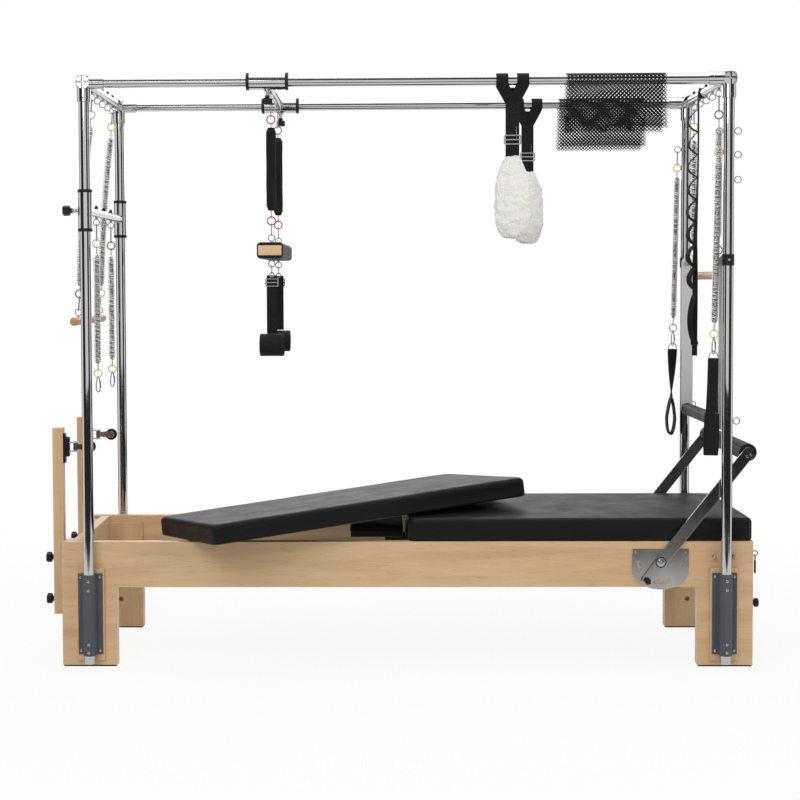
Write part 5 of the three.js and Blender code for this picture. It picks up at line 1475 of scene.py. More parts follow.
def stitches(maker, start, end, face):
    """A row of short threads from one point to another, on a face."""
    start, end, face = Vector(start), Vector(end), Vector(face)
    along = (end - start).normalized()
    half, sunk = along * STITCH_LENGTH / 2, face * 0.3
    for k in range(max(1, int((end - start).length / STITCH_STEP))):
        middle = start + along * (k + 0.5) * STITCH_STEP
        line = [middle - half - sunk, middle + face * 0.35, middle + half - sunk]
        maker.tube(line, 0.45, "thread", sides=5)


def stitched_box(maker, centre, width, height):
    """A sewn box with a cross in it, as on any load-bearing strap, on a face towards the front."""
    x, y, z = centre
    w, h = width / 2, height / 2
    corners = [(x - w, y, z - h), (x + w, y, z - h), (x + w, y, z + h), (x - w, y, z + h)]
    for i, j in ((0, 1), (1, 2), (2, 3), (3, 0), (0, 2), (1, 3)):
        stitches(maker, corners[i], corners[j], (0, -1, 0))


def slide_buckle(maker, centre, width, height, wire, finish):
    """A three-bar slide: a frame of round wire with a bar across its middle, in the XZ plane."""
    x, y, z = centre
    frame = box_section(width, height, 3.0)
    line = [(x + across, y, z + up) for across, up in frame[4:] + frame[:4]]
    maker.tube(line, wire, finish, sides=10, closed=True)
    maker.rod((x - width / 2, y, z), (x + width / 2, y, z), wire, finish, 12)


print("stitches every", STITCH_STEP, "mm")

# %% [markdown]
# A cuff hangs under each end of the trapeze bar: a link, a flat strap with a slide on it, and a wide band
# sewn into a loop at the end. The band is a padded strip, so it has rounded edges and two rows of
# stitches.

# %% Cuffs
CUFF_TOP, CUFF_LOOP_Z, CUFF_WIDTH, CUFF_DEPTH, CUFF_HEIGHT, CUFF_WALL = 1433.0, 1140.5, 87.0, 95.0, 81.0, 8.0


def cuff_oval(x, outset, steps):
    """Points of the cuff's upright oval, some way outside its own size."""
    return [(x, (CUFF_DEPTH / 2 + outset) * y, CUFF_LOOP_Z - CUFF_TOP + (CUFF_HEIGHT / 2 + outset) * z)
            for y, z in arc(0, 0, 1, 90, 450, steps)[:-1]]


for side_name, side in SIDES:
    cuff = Maker()
    chain_link(cuff, LINK_TOP, 34)
    cuff.ring((0, 0, -39), 8, 2, "zinc")
    band(cuff, [(0, 2.2, -depth) for depth in (41, 60, 90, 130, 170, 210, 250)], 38, 3.2, (0, -1, 0))
    slide_buckle(cuff, (0, 1.5, -67), 44, 26, 2.2, "black_plastic" if side > 0 else "zinc")
    stitched_box(cuff, (0, 0.4, -215), 28, 30)
    section = box_section(CUFF_WIDTH, CUFF_WALL, 3.8, 4)
    cuff.sweep(cuff_oval(0, -CUFF_WALL / 2, 48), section, "webbing", out=(0, 0, 1), closed=True)
    for edge in (-1, 1):
        row = cuff_oval(edge * (CUFF_WIDTH / 2 - 7), 0.1, 64)
        for k in range(0, 64, 2):
            cuff.tube(row[k:k + 2], 0.5, "thread", sides=5)
    node = f"cuff_{side_name}"
    cuff.build(node, node, "webbing", node, matrix=Matrix.Translation((SLIDER_X, side * TRAPEZE_Y, CUFF_TOP)))

# %% [markdown]
# The handle straps hang on D-rings under the long springs at the right end. They are one folded strip
# each: two layers lie flat on each other and open into a hand loop at the bottom. The near one turns its
# flat side to the viewer, the far one its edge.

# %% Handle straps
HANDLE_TOP, HANDLE_END, HANDLE_LOOP = 780.8, 1129.8, 150.0
D_RING = [(0, 763.4), (6.5, 765.6), (12.5, 772), (15.5, 781), (15, 789)]  # half of its wire: x, depth

for side_name, side in SIDES:
    handle = Maker()
    near = side < 0
    loop_depth = 32.0 if near else 38.0
    across, out = ((1, 0, 0), (0, -1, 0)) if near else ((0, 1, 0), (1, 0, 0))
    across, out = Vector(across), Vector(out)
    wire = [(-x, 0, -depth) for x, depth in D_RING[:0:-1]] + [(x, 0, -depth) for x, depth in D_RING]
    handle.tube(wire, 2.1, "zinc", sides=12, closed=True)
    top, loop_top = HANDLE_TOP + 8.0, HANDLE_END - HANDLE_LOOP
    shares = [k / 8 for k in range(9)]
    line = [Vector((0, 0, -top - (loop_top - top) * t)) for t in shares]
    sizes = [1.0 + 0.16 * t - 0.06 * math.sin(math.pi * t) for t in shares]
    handle.sweep(line, box_section(38, 5.2, 2.2), "webbing", out=(0, -1, 0), sizes=sizes,
                 twist=0 if near else math.pi / 2)
    for layer, edge in ((-1, 1), (-1, -1), (1, 1), (1, -1)) if near else ():
        handle.tube([p + out * layer * 2.9 + across * edge * 15 for p in line[1:-1]], 0.45, "thread", sides=5)
    half_height = HANDLE_LOOP / 2 - 3
    middle = Vector((0, 0, -(HANDLE_END + loop_top) / 2))
    loop = []
    for x, z in arc(0, 0, 1, 90, 450, 44)[:-1]:
        pinch = 0.5 + 0.5 * min(1.0, (1 - z) / 1.1)
        loop.append(middle + out * (loop_depth / 2 - 3) * x * pinch + Vector((0, 0, half_height * z)))
    handle.sweep(loop, box_section(50, 5.0, 2.2), "webbing", out=(0, 0, 1), closed=True)
    stitched_box(handle, (0, -2.7, -top - 26), 26, 30)
    node, place = f"handle_strap_{side_name}", (POST_EYE_X, side * POST_Y, POST_EYES[0])
    handle.build(node, node, "webbing", node, matrix=hang(place, HANDLE_LEAN))

# %% [markdown]
# Two fleece foot loops hang on the top rails. Each is a webbing strap with two arms round the rail, a slide
# on the neck, and a wide loop covered in sheepskin. Sheepskin hides its own shape: it has soft tufts that
# stand out by different amounts, and it is fuller at the bottom than at the neck.

# %% Fleece loops
FLEECE = {"near": 372.0, "far": 497.0}
FLEECE_Z, FLEECE_HEIGHT, FLEECE_DEPTH, FLEECE_WIDTH, FLEECE_WALL = 1660.0, 292.0, 96.0, 115.0, 24.0


def tuft(p, size):
    """How far the wool stands out at a point."""
    return size * (0.5 * noise.noise(p * 0.045) + 0.3 * noise.noise(p * 0.11) + 0.3 * noise.noise(p * 0.24))


def fleece_width(height):
    """The loop's share of its full width at a height of -1 to 1: narrow at the neck, rounded below."""
    return 1.0 - 0.56 * height ** 2.4 if height > 0 else 1.0 - 0.42 * height ** 6


def wool_ring(x, y):
    """A fleece tube bent into an upright teardrop that opens along X."""
    rings = []
    half_height = FLEECE_HEIGHT / 2 - FLEECE_WALL / 2
    for back, up in arc(0, 0, 1, 90, 450, 180)[:-1]:
        low = 0.5 - 0.5 * up
        half_depth = (FLEECE_DEPTH / 2 - FLEECE_WALL / 2) * (0.72 + 0.28 * low)
        centre = Vector((x, y + half_depth * back, FLEECE_Z + half_height * up))
        normal = Vector((0, back / half_depth, up / half_height)).normalized()
        grow = 0.84 + 0.16 * min(1.0, 1.5 * low)
        ring = []
        for c, s in round_section(1, 84):
            across = math.copysign(abs(c) ** 0.7, c) * (FLEECE_WIDTH / 2 + 1) * fleece_width(up)
            out = math.copysign(abs(s) ** 0.8, s) * (FLEECE_WALL / 2 - 1.5) * grow
            p = centre + Vector((across, 0, 0)) + normal * out
            away = (Vector((c * 0.6, 0, 0)) + normal * s).normalized()
            ring.append(p + away * tuft(p, 9.0))
        rings.append(ring[::-1])
    return rings


for side_name, side in SIDES:
    x, y = FLEECE[side_name], side * POST_Y
    node = f"fuzzy_loop_{side_name}"
    strap = Maker()
    for arm in (-1, 1):
        collar = [(x + arm * 36, *point) for point in arc(y, TOP_Z, 21.5, -60, 240, 25)]
        band(strap, collar, 42, 2.8, (0, 1, -1.7))
        for layer in (-1, 1):
            start = Vector((x + arm * 36, y + layer * 11.0, TOP_Z - 18.5))
            end = Vector((x + arm * 4, y + layer * 1.6, TOP_Z - 78))
            line = [Vector((x + arm * 37.5, y + layer * 20.3, TOP_Z - 8))]
            line += [start.lerp(end, t) for t in (0, 0.25, 0.5, 0.75, 1.0)]
            band(strap, line, 42, 2.8, (0, 1, 0))
    gusset = [(x - 22, TOP_Z - 84), (x + 22, TOP_Z - 84), (x + 36, TOP_Z - 27), (x - 36, TOP_Z - 27)]
    slab(strap, gusset, y - 3.0, y + 3.0, "webbing", 0.6)
    neck = (TOP_Z - 70, TOP_Z - 110, TOP_Z - 160, 1880, 1850, 1820, FLEECE_Z + FLEECE_HEIGHT / 2 - 14)
    strap.sweep([(x, y, z) for z in neck], box_section(48, 6.5, 2.8), "webbing", out=(0, 1, 0))
    slide_buckle(strap, (x, y - 3.4, 1858), 56, 30, 2.3, "zinc")
    stitched_box(strap, (x, y - 3.6, TOP_Z - 100), 34, 30)
    strap.tube([(x + 14, y - 5.2, z) for z in (1905, 1880, 1862)], 1.6, "zinc", sides=8)
    strap.build(f"fleece_strap_{side_name}", node, "webbing")
    fleece = Maker()
    fleece.skin(wool_ring(x, y), "wool", closed=True)
    fleece.build(f"fleece_{side_name}", node, "fleece", node)

# %% [markdown]
# A non-slip net is folded over each top rail. It is real cloth with open diamond cells, so it is built as a
# lattice: knots on a staggered grid, and in each cell a frame of four strands round a hole. Its cut edges
# are saw-toothed for the same reason. It is laid out flat first, and then each point goes over the rail.

# %% Nets
NET_STEP, NET_HOLE, NET_THICK = 6.8, 0.61, 0.7
NET_SKEW, NET_RADIUS, NET_WAVE = 6.0, 21.0, 5.0
NETS = {"near": (556.0, 909.0), "far": (617.0, 958.0)}
NET_FRONT, NET_BACK = 172.0, 188.0
NET_WRAP = math.pi * NET_RADIUS
NET_LENGTH = NET_FRONT + NET_WRAP + NET_BACK


def over_rail(x, run, y, off):
    """A flat point, (x, run), laid over the rail a little askew; off is its height above the net's middle."""
    x -= NET_SKEW * (run - NET_FRONT - NET_WRAP / 2) / NET_BACK
    radius = NET_RADIUS + off
    if run < NET_FRONT:
        drop = NET_FRONT - run
        wave = NET_WAVE * math.sin(x * 0.021 + 0.6) * (drop / NET_FRONT) ** 1.5
        return (x, y - radius + wave, TOP_Z - drop)
    if run > NET_FRONT + NET_WRAP:
        drop = run - NET_FRONT - NET_WRAP
        wave = NET_WAVE * math.sin(x * 0.017 + 2.0) * (drop / NET_BACK) ** 1.5
        return (x, y + radius + wave, TOP_Z - drop)
    a = math.pi - (run - NET_FRONT) / NET_RADIUS
    return (x, y + radius * math.cos(a), TOP_Z + radius * math.sin(a))


def net_cells(maker, x0, x1, y):
    """Every diamond cell: four strands with two faces and the walls of the hole."""
    columns, rows = int((x1 - x0) / NET_STEP), int(NET_LENGTH / NET_STEP)
    slot, index, cells = maker.finish("webbing"), {}, 0

    def point(i, j, layer):
        """The number of a point on one face of the net; points are shared by neighbouring cells."""
        key = (round(i, 3), round(j, 3), layer)
        if key not in index:
            index[key] = len(maker.points)
            maker.points.append(Vector(over_rail(x0 + i * NET_STEP, j * NET_STEP, y, layer * NET_THICK / 2)))
        return index[key]

    def quad(corners):
        """One face between four points."""
        lay = [(i * NET_STEP * MM, j * NET_STEP * MM) for i, j, _ in corners]
        maker.face(tuple(point(*corner) for corner in corners), lay, slot)

    for i in range(1, columns):
        for j in range(1, rows):
            if (i + j) % 2 == 0:
                continue
            cells += 1
            outer = [(i + 1, j), (i, j + 1), (i - 1, j), (i, j - 1)]
            hole = [(i + (a - i) * NET_HOLE, j + (b - j) * NET_HOLE) for a, b in outer]
            for k in range(4):
                n = (k + 1) % 4
                quad([(*outer[k], 1), (*outer[n], 1), (*hole[n], 1), (*hole[k], 1)])
                quad([(*outer[n], -1), (*outer[k], -1), (*hole[k], -1), (*hole[n], -1)])
                quad([(*hole[k], 1), (*hole[n], 1), (*hole[n], -1), (*hole[k], -1)])
                a, b = outer[k][0] + outer[n][0] - i, outer[k][1] + outer[n][1] - j
                if not (1 <= a < columns and 1 <= b < rows):
                    quad([(*outer[n], 1), (*outer[k], 1), (*outer[k], -1), (*outer[n], -1)])
    return cells


for side_name, side in SIDES:
    net = Maker()
    x0, x1 = NETS[side_name]
    cells = net_cells(net, x0, x1, side * POST_Y)
    node = f"mesh_pad_{side_name}"
    piece = net.build(f"net_{side_name}", node, "webbing", node)

# %% [markdown]
# The daisy-chain strap hangs round the right top bar. A second strip is sewn to it every few centimetres and
# stands out in soft loops between the stitches, and its end hangs in a larger loop. It is made flat, and
# then turned about its own length more and more towards its end, clear of the hand bar behind it.

# %% Daisy-chain strap
DAISY_Y, DAISY_X, DAISY_LENGTH = 50.0, -18.4, 995
DAISY_WIDTH, DAISY_THICK = 25, 2.6
daisy = Maker()
collar = [(x, 0, z) for x, z in round_section(-DAISY_X, 36)]
band(daisy, collar, DAISY_WIDTH, DAISY_THICK, (1, 0, 0), closed=True)
line = [(DAISY_X + 0.8 * math.sin(z * 0.011), 0, -z) for z in range(0, DAISY_LENGTH, 20)]
band(daisy, line, DAISY_WIDTH, DAISY_THICK, (1, 0, 0))


def sewn_loop(maker, top, bottom, bulge, droop):
    """A strip that leaves the strap, hangs out and comes back."""
    line = []
    for t in (k / 22 for k in range(23)):
        out = math.sin(math.pi * t)
        line.append((DAISY_X - 2 - bulge * out ** 0.85, 0, -(top + (bottom - top) * t) - droop * out))
    band(maker, line, DAISY_WIDTH, DAISY_THICK, (-1, 0, 0))


for k in range(8):
    top = 60 + 84 * k
    sewn_loop(daisy, top + 1, top + 83, 35.5 - 3 * (k % 2), 5.0)
    stitches(daisy, (DAISY_X - 3.6, -10, -top), (DAISY_X - 3.6, 10, -top), (-1, 0, 0))
    stitches(daisy, (DAISY_X + 1.6, -10, -top - 3), (DAISY_X + 1.6, 10, -top - 3), (1, 0, 0))
sewn_loop(daisy, 752, 933, 27.5, 6.0)
slide = [(y, z) for z in (-938, -926) for y in (-15, 15)]
for one, other in ((0, 1), (2, 3), (0, 2), (1, 3)):
    daisy.tube([(DAISY_X - 2, *slide[one]), (DAISY_X - 2, *slide[other])], 2.2, "black_plastic", sides=12)
TWIST, TWIST_FROM, TWIST_TO, TWIST_CLEAR = math.radians(40), 250.0, 760.0, 9.0
for point in daisy.points:
    share = min(1.0, max(0.0, (-point.z - TWIST_FROM) / (TWIST_TO - TWIST_FROM)))
    share = share * share * (3 - 2 * share)
    across = Matrix.Rotation(TWIST * share, 2) @ Vector((point.x - DAISY_X, point.y))
    point.x, point.y = DAISY_X - TWIST_CLEAR * min(1.0, 1.6 * share) + across.x, across.y
matrix = Matrix.Translation((POST_X, DAISY_Y, TOP_Z))
daisy.build("daisy_strap_cloth", "daisy_strap", "webbing", "daisy_strap", matrix=matrix)

# %% [markdown]
# ## Bars that turn
#
# The push-through bar and the foot bar are made alike: two flat polished arms with round ends, and a
# padded roller between them whose steel end caps are held by two bolts. The roller's cover is sewn to
# a tube, so it is a little fuller at its middle.

# %% Flat arms and rollers
def flat_arm(maker, start, end, width, low, high, name="brushed_steel"):
    """A steel strip with round ends in the XZ plane, between two depths of Y."""
    turn = math.degrees(math.atan2(end[1] - start[1], end[0] - start[0]))
    outline = arc(*end, width / 2, turn - 90, turn + 90, 18)
    outline += arc(*start, width / 2, turn + 90, turn + 270, 18)
    slab(maker, outline, low, high, name, 1.2)


def roller(maker, x, z, half, radius):
    """A padded cover along Y: soft shoulders and a seam at each end."""
    full = 2 * half
    profile = [(0, radius * 0.55), (1, radius * 0.8), (3, radius * 0.93), (7, radius * 0.985),
               (14, radius - 0.4), (17, radius - 1.1), (20, radius - 0.4)]
    middle = [(full * t, radius - 0.3 + 0.3 * math.sin(math.pi * t)) for t in (0.1, 0.3, 0.5, 0.7, 0.9)]
    profile += middle + [(full - d, r) for d, r in reversed(profile)]
    maker.lathe((x, -half, z), (x, half, z), profile, "vinyl", 64)


def cap_screw(maker, x, z, face, side):
    """A cap screw with a hollow head, on an arm's face."""
    profile = [(0, 4.6), (2.8, 4.6), (3.7, 4.0), (4, 3.2), (3.9, 1.8), (2.2, 1.6)]
    maker.lathe((x, face, z), (x, face + side * 4, z), profile, "zinc", 20)


push = Maker()
ROLLER_Z = 862.0
for side in (-1, 1):
    # the push arms' steel has a painted lighter colour, as painted light
    flat_arm(push, (POST_X, ROLLER_Z), (POST_X, PUSH_Z), 45,
             side * (PUSH_INNER + 0.2), side * (PUSH_INNER + 7.8), "satin_steel_painted_light")
    push.rod((POST_X, side * (PUSH_INNER + 7), ROLLER_Z), (POST_X, side * (PUSH_INNER + 10), ROLLER_Z),
             9, "zinc", 28)
push.rod((POST_X, -PUSH_INNER - 2, ROLLER_Z), (POST_X, PUSH_INNER + 2, ROLLER_Z), 10, "zinc", 28)
push.build("push_arms", "push_through_bar", "brushed_steel", "push_through_bar")
cover = Maker()
roller(cover, POST_X, ROLLER_Z, PUSH_INNER - 0.6, 24)
cover.build("push_roller", "push_through_bar", "vinyl", "push_through_pad")

# %% [markdown]
# The foot bar turns on a pin in each foot plate. A shorter piece of its arms runs on below the pivot, to the
# star knob that locks the bar in a notch.

# %% Foot bar
PIVOT, ROLLER, LOW_END = (898.0, 374.0), (1204.0, 761.0), (850.0, 308.0)
FOOT_INNER, ARM_THICK = 345.0, 7.0
foot = Maker()
for side in (-1, 1):
    inner, outer = side * FOOT_INNER, side * (FOOT_INNER + ARM_THICK)
    flat_arm(foot, PIVOT, ROLLER, 41, inner, outer)
    flat_arm(foot, LOW_END, PIVOT, 40.6, inner, outer)
    face = side * (FOOT_INNER + ARM_THICK - 0.3)
    foot.rod((PIVOT[0], face, PIVOT[1]), (PIVOT[0], face + side * 0.8, PIVOT[1]), 16, "zinc", 36)
    star_knob(foot, (LOW_END[0], face, LOW_END[1]), (LOW_END[0], face + side * 20, LOW_END[1]), 12)
    for k in (-7.5, 7.5):
        cap_screw(foot, ROLLER[0] + k * math.cos(0.45), ROLLER[1] - 10 + k * math.sin(0.45), face, side)
foot.rod((ROLLER[0], -FOOT_INNER - 2, ROLLER[1]), (ROLLER[0], FOOT_INNER + 2, ROLLER[1]), 12, "zinc", 28)
foot.build("foot_arms", "foot_bar", "brushed_steel", "foot_bar")
cover = Maker()
roller(cover, *ROLLER, FOOT_INNER - 0.4, 31.5)
cover.build("foot_roller", "foot_bar", "vinyl", "foot_bar_pad")

# %% [markdown]
# A polished plate on each rail carries the foot bar's pin and has two curved slots with notches, which the
# lock knobs drop into. A flat shape with holes is what Blender's 2D curve fills by itself, so the outline and
# the slots are splines of one curve, which gets its thickness and soft edges before it becomes a mesh.

# %% Foot plates
PLATE_X, PLATE_TOP, PLATE_SHOULDER, PLATE_BOTTOM = (799.0, 997.0), 421.0, 348.0, 276.0
SLOTS = ((78.0, 176, 206, 3), (72.0, 240, 300, 4))


def notched_slot(radius, first, last, notches):
    """The outline of a curved slot about the pivot; notches open towards the pivot."""
    points = arc(*PIVOT, radius + 6, first, last, 20)
    for k in range(61):
        t = 1 - k / 60
        a = math.radians(first + (last - first) * t)
        notch = 5.5 * max(0.0, math.sin(math.pi * (2 * notches - 1) * t)) ** 0.35 if 0.01 < t < 0.99 else 0
        r = radius - 1 - notch
        points.append((PIVOT[0] + r * math.cos(a), PIVOT[1] + r * math.sin(a)))
    return points


def plate_mesh(outlines, thick, soft):
    """Outlines in millimetres, filled by a 2D curve; the outline first, then its holes."""
    curve = bpy.data.curves.new("plate_outline", "CURVE")
    curve.dimensions = "2D"
    curve.fill_mode = "BOTH"
    curve.extrude = thick / 2 - soft
    curve.bevel_depth = soft
    curve.bevel_resolution = 2
    curve.offset = -soft
    for outline in outlines:
        spline = curve.splines.new("POLY")
        spline.points.add(len(outline) - 1)
        for point, (x, z) in zip(spline.points, outline):
            point.co = (x, z, 0, 1)
        spline.use_cyclic_u = True
    holder = bpy.data.objects.new("plate_outline", curve)
    bpy.context.collection.objects.link(holder)
    mesh = bpy.data.meshes.new_from_object(holder.evaluated_get(bpy.context.evaluated_depsgraph_get()))
    points = [tuple(v.co) for v in mesh.vertices]
    faces = [tuple(p.vertices) for p in mesh.polygons]
    bpy.data.objects.remove(holder)
    bpy.data.curves.remove(curve)
    bpy.data.meshes.remove(mesh)
    return points, faces


left, right = PLATE_X
middle_x, half, dish = (left + right) / 2, (right - left) / 2, PLATE_SHOULDER - PLATE_BOTTOM
plate_outline = [(right, PLATE_TOP), (left, PLATE_TOP)]
plate_outline += [(middle_x + half * x, PLATE_SHOULDER + dish * z) for x, z in arc(0, 0, 1, 180, 360, 36)]
points, faces = plate_mesh([plate_outline] + [notched_slot(*slot) for slot in SLOTS], 4.0, 0.7)
for side_name, side in SIDES:
    plate = Maker()
    finish_slot = plate.finish("brushed_steel")
    middle = side * (HALF_WIDTH + 2.4)
    plate.points = [Vector((x, middle - side * z, y)) for x, y, z in points]
    for corners in faces:
        corners = corners[::-side]
        plate.face(corners, [(points[i][0] * MM, points[i][1] * MM) for i in corners], finish_slot)
    face, out = side * (HALF_WIDTH + 4.4), side * (FOOT_INNER + ARM_THICK + 0.7)
    x, z = PIVOT
    plate.rod((x, face - side * 3, z), (x, side * (FOOT_INNER + ARM_THICK + 1), z), 8, "zinc", 28)
    plate.lathe((x, out, z), (x, out + side * 4, z),
                [(0, 12), (2.4, 12), (3.6, 10.6), (4, 8), (3.8, 4), (2.6, 3.4)], "zinc", 32)
    for x, z in ((left + 12, PLATE_TOP - 12), (right - 12, PLATE_TOP - 12),
                 (right - 27, 362), (right - 22, 376)):
        pan_screw(plate, (x, face, z), side, 4.4)
    plate.build(f"foot_plate_{side_name}_cut", "frame", "brushed_steel", f"foot_plate_{side_name}")

# %% [markdown]
# ## Inside the bed
#
# The carriage runs on four wheels on steel ledges. Most of it is under the loose mats, but it is seen
# from the left, from above between the mats, and from below.

# %% Carriage and wheels
CARRIAGE_X, CARRIAGE_HALF, BOARD_Z, AXLE_Z = (4.0, 700.0), 262.0, 380.0, 355.0
AXLES = {"left": 99.0, "right": 605.0}
FORK_IN, FORK_OUT = 232, 262
TREAD = [(0, 9), (0.6, 22), (2.4, 24.4), (9, 24.7), (15.6, 24.4), (17.4, 22), (18, 9)]
HINGE = (-37.0, 416.0)
carriage = Maker()
carriage.block((CARRIAGE_X[0], -CARRIAGE_HALF, BOARD_Z), (CARRIAGE_X[1], CARRIAGE_HALF, BOARD_Z + 20),
               "maple_along", 3.0)
for x in AXLES.values():
    for side in (-1, 1):
        for part in (-1, 1):
            carriage.block((x + part * 15, side * FORK_IN, 345),
                           (x + part * 5.4, side * FORK_OUT, BOARD_Z + 1), "black_plastic", 1.5)
        carriage.block((x - 7, side * FORK_IN, AXLE_Z + 5.4), (x + 7, side * FORK_OUT, BOARD_Z + 1),
                       "black_plastic", 1.0)
for side in (-1, 1):
    outline = [(4, 381), (4, 421), (-58, 421), (-70, 419), (-73, 414), (-73, 396), (-68, 386), (-52, 381)]
    slab(carriage, outline, side * 48.3, side * 55.7, "powder_black", 1.2)
carriage.rod((HINGE[0], -55, HINGE[1]), (HINGE[0], 55, HINGE[1]), 6, "zinc", 24)
carriage.build("carriage_frame", "carriage", "maple", "carriage_board")
for name, x in AXLES.items():
    wheels = Maker()
    for side in (-1, 1):
        y0, y1 = side * 278, side * 296
        wheels.lathe((x, y0, AXLE_Z), (x, y1, AXLE_Z), TREAD, "black_plastic", 40)
        wheels.rod((x, y0 - side, AXLE_Z), (x, y1 - side * 0.2, AXLE_Z), 8.8, "zinc", 28)
    wheels.rod((x, -295, AXLE_Z), (x, 295, AXLE_Z), 5, "zinc", 20)
    wheels.build(f"wheels_{name}_pair", f"wheels_{name}", "black_plastic", f"carriage_wheels_{name}")

# %% [markdown]
# ## Cushions
#
# A bench cushion is foam in a sewn vinyl cover. Its top is crowned and its edges are rolled. Its sides are
# drawn in a little between the corners, and each upright corner has a seam. So a cushion here is a stack of
# rounded outlines from the bottom to the top, with many small steps. The cover of a stuffed piece is
# never quite even, so shallow noise moves every point.

# %% Cushion maker
POINT_STEP, CORNER_PULL = 26.0, 90.0


def outline_points(length, width, corner):
    """A rounded rectangle with evenly spaced points, as (x, y) about its middle."""
    corners = []
    for sx, sy, start in ((1, 1, 0), (-1, 1, 90), (-1, -1, 180), (1, -1, 270)):
        x, y = sx * (length / 2 - corner), sy * (width / 2 - corner)
        corners.append([Vector(p) for p in arc(x, y, corner, start, start + 90, 6)])
    points = []
    for k, bend in enumerate(corners):
        start, end = bend[-1], corners[(k + 1) % 4][0]
        steps = max(2, round((end - start).length / POINT_STEP))
        points += bend + [start.lerp(end, i / steps) for i in range(1, steps)]
    return points


def squeezed(p, half, inset, pull, z, rough):
    """A point of the outline moved in by inset and pull, with the cover's small waves."""
    x, y = p.x * (half.x - inset) / half.x, p.y * (half.y - inset) / half.y
    if pull:
        to_corner = half.x - abs(p.x) if abs(p.y) > half.y - 1 else half.y - abs(p.y)
        pull *= min(1.0, to_corner / CORNER_PULL)
        x -= pull * p.x / half.x if abs(p.x) > half.x - 1 else 0
        y -= pull * p.y / half.y if abs(p.y) > half.y - 1 else 0
    wave = noise.noise(Vector((x * 0.008, y * 0.008, z * 0.05)))
    wave += 0.35 * noise.noise(Vector((x * 0.02, y * 0.05, z * 0.2)))
    return Vector((x, y, z + (rough * wave if z > 10 else 0)))


def cushion(maker, length, width, thick, corner, edge, crown, tuck, foot, rough=1.0):
    """A sewn cushion about its middle, from z = 0 up: rolled edges, a crowned top and tucked sides."""
    half, wall = Vector((length / 2, width / 2)), thick - crown - edge
    # inset, pull and height of each ring of points
    levels = [(foot + 40, 0, 0.6), (foot, 0, 0.0), (foot * 0.3, 0, foot * 0.3), (0, 0, foot)]
    levels += [(0, tuck * math.sin(math.pi * t), foot + (wall - foot) * t)
               for t in (0.15, 0.35, 0.55, 0.75, 0.9)]
    levels += [(edge - x, 0, wall + y) for x, y in arc(0, 0, edge, 0, 90, 6)]
    for share in (0.12, 0.2, 0.3, 0.42, 0.56, 0.72, 0.88, 0.97):
        levels.append((edge + (min(half) - edge) * share, 0, wall + edge + crown * (1 - (1 - share) ** 2)))
    base = outline_points(length, width, corner)
    maker.skin([[squeezed(p, half, *level, rough) for p in base] for level in levels], "vinyl")
    cut = corner * 0.293 + 0.2
    for sx in (-1, 1):
        for sy in (-1, 1):
            seam = [(sx * (half.x - cut), sy * (half.y - cut), foot + (wall - foot) * t)
                    for t in (0.02, 0.3, 0.6, 0.85, 1.0)]
            maker.tube(seam, 1.1, "vinyl", sides=8)


print("points of a mat's outline", len(outline_points(1223, 645, 30)))

# %% [markdown]
# The carriage has a cushion of its own, and so has the headrest, which lies on a board with two hinge arms.

# %% Carriage cushion and headrest
pad = Maker()
cushion(pad, 694, 2 * CARRIAGE_HALF - 2, 39.5, 14, 10, 2, 1.5, 3, rough=0.5)
middle = Matrix.Translation((sum(CARRIAGE_X) / 2, 0, BOARD_Z + 20.3))
pad.build("carriage_cushion", "carriage", "vinyl", "carriage_pad", matrix=middle)

head = Maker()
cushion(head, 195, 278, 24, 14, 9, 1.5, 1, 2, rough=0.4)
under = Maker()
under.block((-200, -137, 430), (-9, 137, 450.4), "powder_black", 2.5)
for x0, x1 in ((-48.6, -43.4), (-30.6, -25.4)):
    under.block((x0, -46.5, 405), (x1, 46.5, 431), "powder_black", 1.2)
under.build("headrest_board", "headrest", "vinyl")
middle = Matrix.Translation((-104.5, 0, 450))
head.build("headrest_cushion", "headrest", "vinyl", "headrest", matrix=middle)

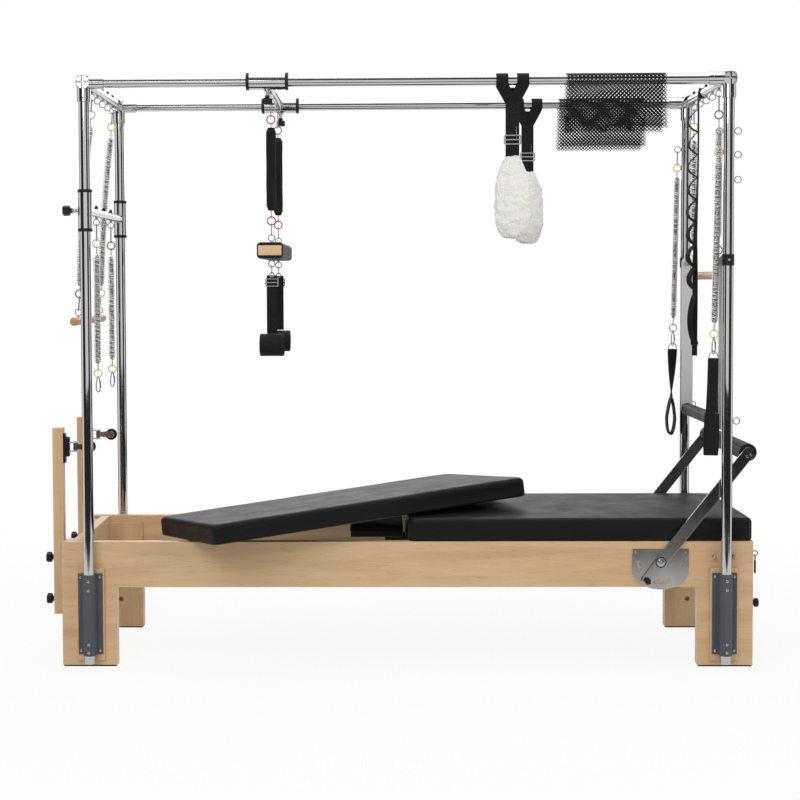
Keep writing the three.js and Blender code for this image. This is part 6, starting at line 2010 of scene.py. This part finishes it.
# %% [markdown]
# Two loose mats lie on the bed. The left one lies askew: its low corner is on the near rail and its far end
# rests on the right mat. The right mat gives way under it, so each of its points that would be inside
# the left mat is moved down on to the left mat's underside, with a soft shoulder beside it.

# %% Loose mats
MAT_L, MAT_W, MAT_T = 1224.0, 646.0, 74.0
tilt = Matrix.Rotation(0.4291, 4, "Z") @ Matrix.Rotation(-0.0822, 4, "Y") @ Matrix.Rotation(-0.0897, 4, "X")
mat_x, mat_y, touch_y = 571.0 - HALF_LENGTH, -HALF_WIDTH - 261.0, -(HALF_WIDTH - RAIL_THICK)
edge_point, along_point = tilt @ Vector((6, 0, 0)), tilt.to_3x3() @ Vector((0, 1, 0))
reach = (touch_y - mat_y - edge_point.y) / along_point.y
mat_z = RAIL_TOP + 0.3 - edge_point.z - along_point.z * reach
left_place = Matrix.Translation((mat_x, mat_y, mat_z)) @ tilt

mat = Maker()
cushion(mat, MAT_L - 1, MAT_W - 1, MAT_T - 0.6, 30, 18, 3, 3, 6)
matrix = left_place @ Matrix.Translation((MAT_L / 2, MAT_W / 2, 0.3))
mat.build("loose_mat_left", "left_mat", "vinyl", "left_mat", matrix=matrix)

mat = Maker()
cushion(mat, 1218, 2 * HALF_WIDTH - 1, 85.6, 30, 18, 4, 4, 6)
to_left = left_place.inverted() @ Matrix.Translation((HALF_LENGTH - 609.5, 0, RAIL_TOP + 0.3))
PRESS_GAP, SHOULDER = 0.8, 60.0
pressed = 0
for k, p in enumerate(mat.points):
    local = to_left @ p
    beside = max(0.0, -local.x, local.x - MAT_L, -local.y, local.y - MAT_W)
    lift = local.z + PRESS_GAP
    if lift > 0 and beside < SHOULDER and p.z > 12:
        share = (1 - beside / SHOULDER) ** 2
        mat.points[k] = Vector((p.x, p.y, max(8.0, p.z - lift * share)))
        pressed += 1
print("points pressed down", pressed)
matrix = Matrix.Translation((HALF_LENGTH - 609.5, 0, RAIL_TOP + 0.3))
mat.build("loose_mat_right", "right_mat", "vinyl", "right_mat", matrix=matrix)

# %% [markdown]
# Every CAD node has been replaced, so none needs a finish of its own.
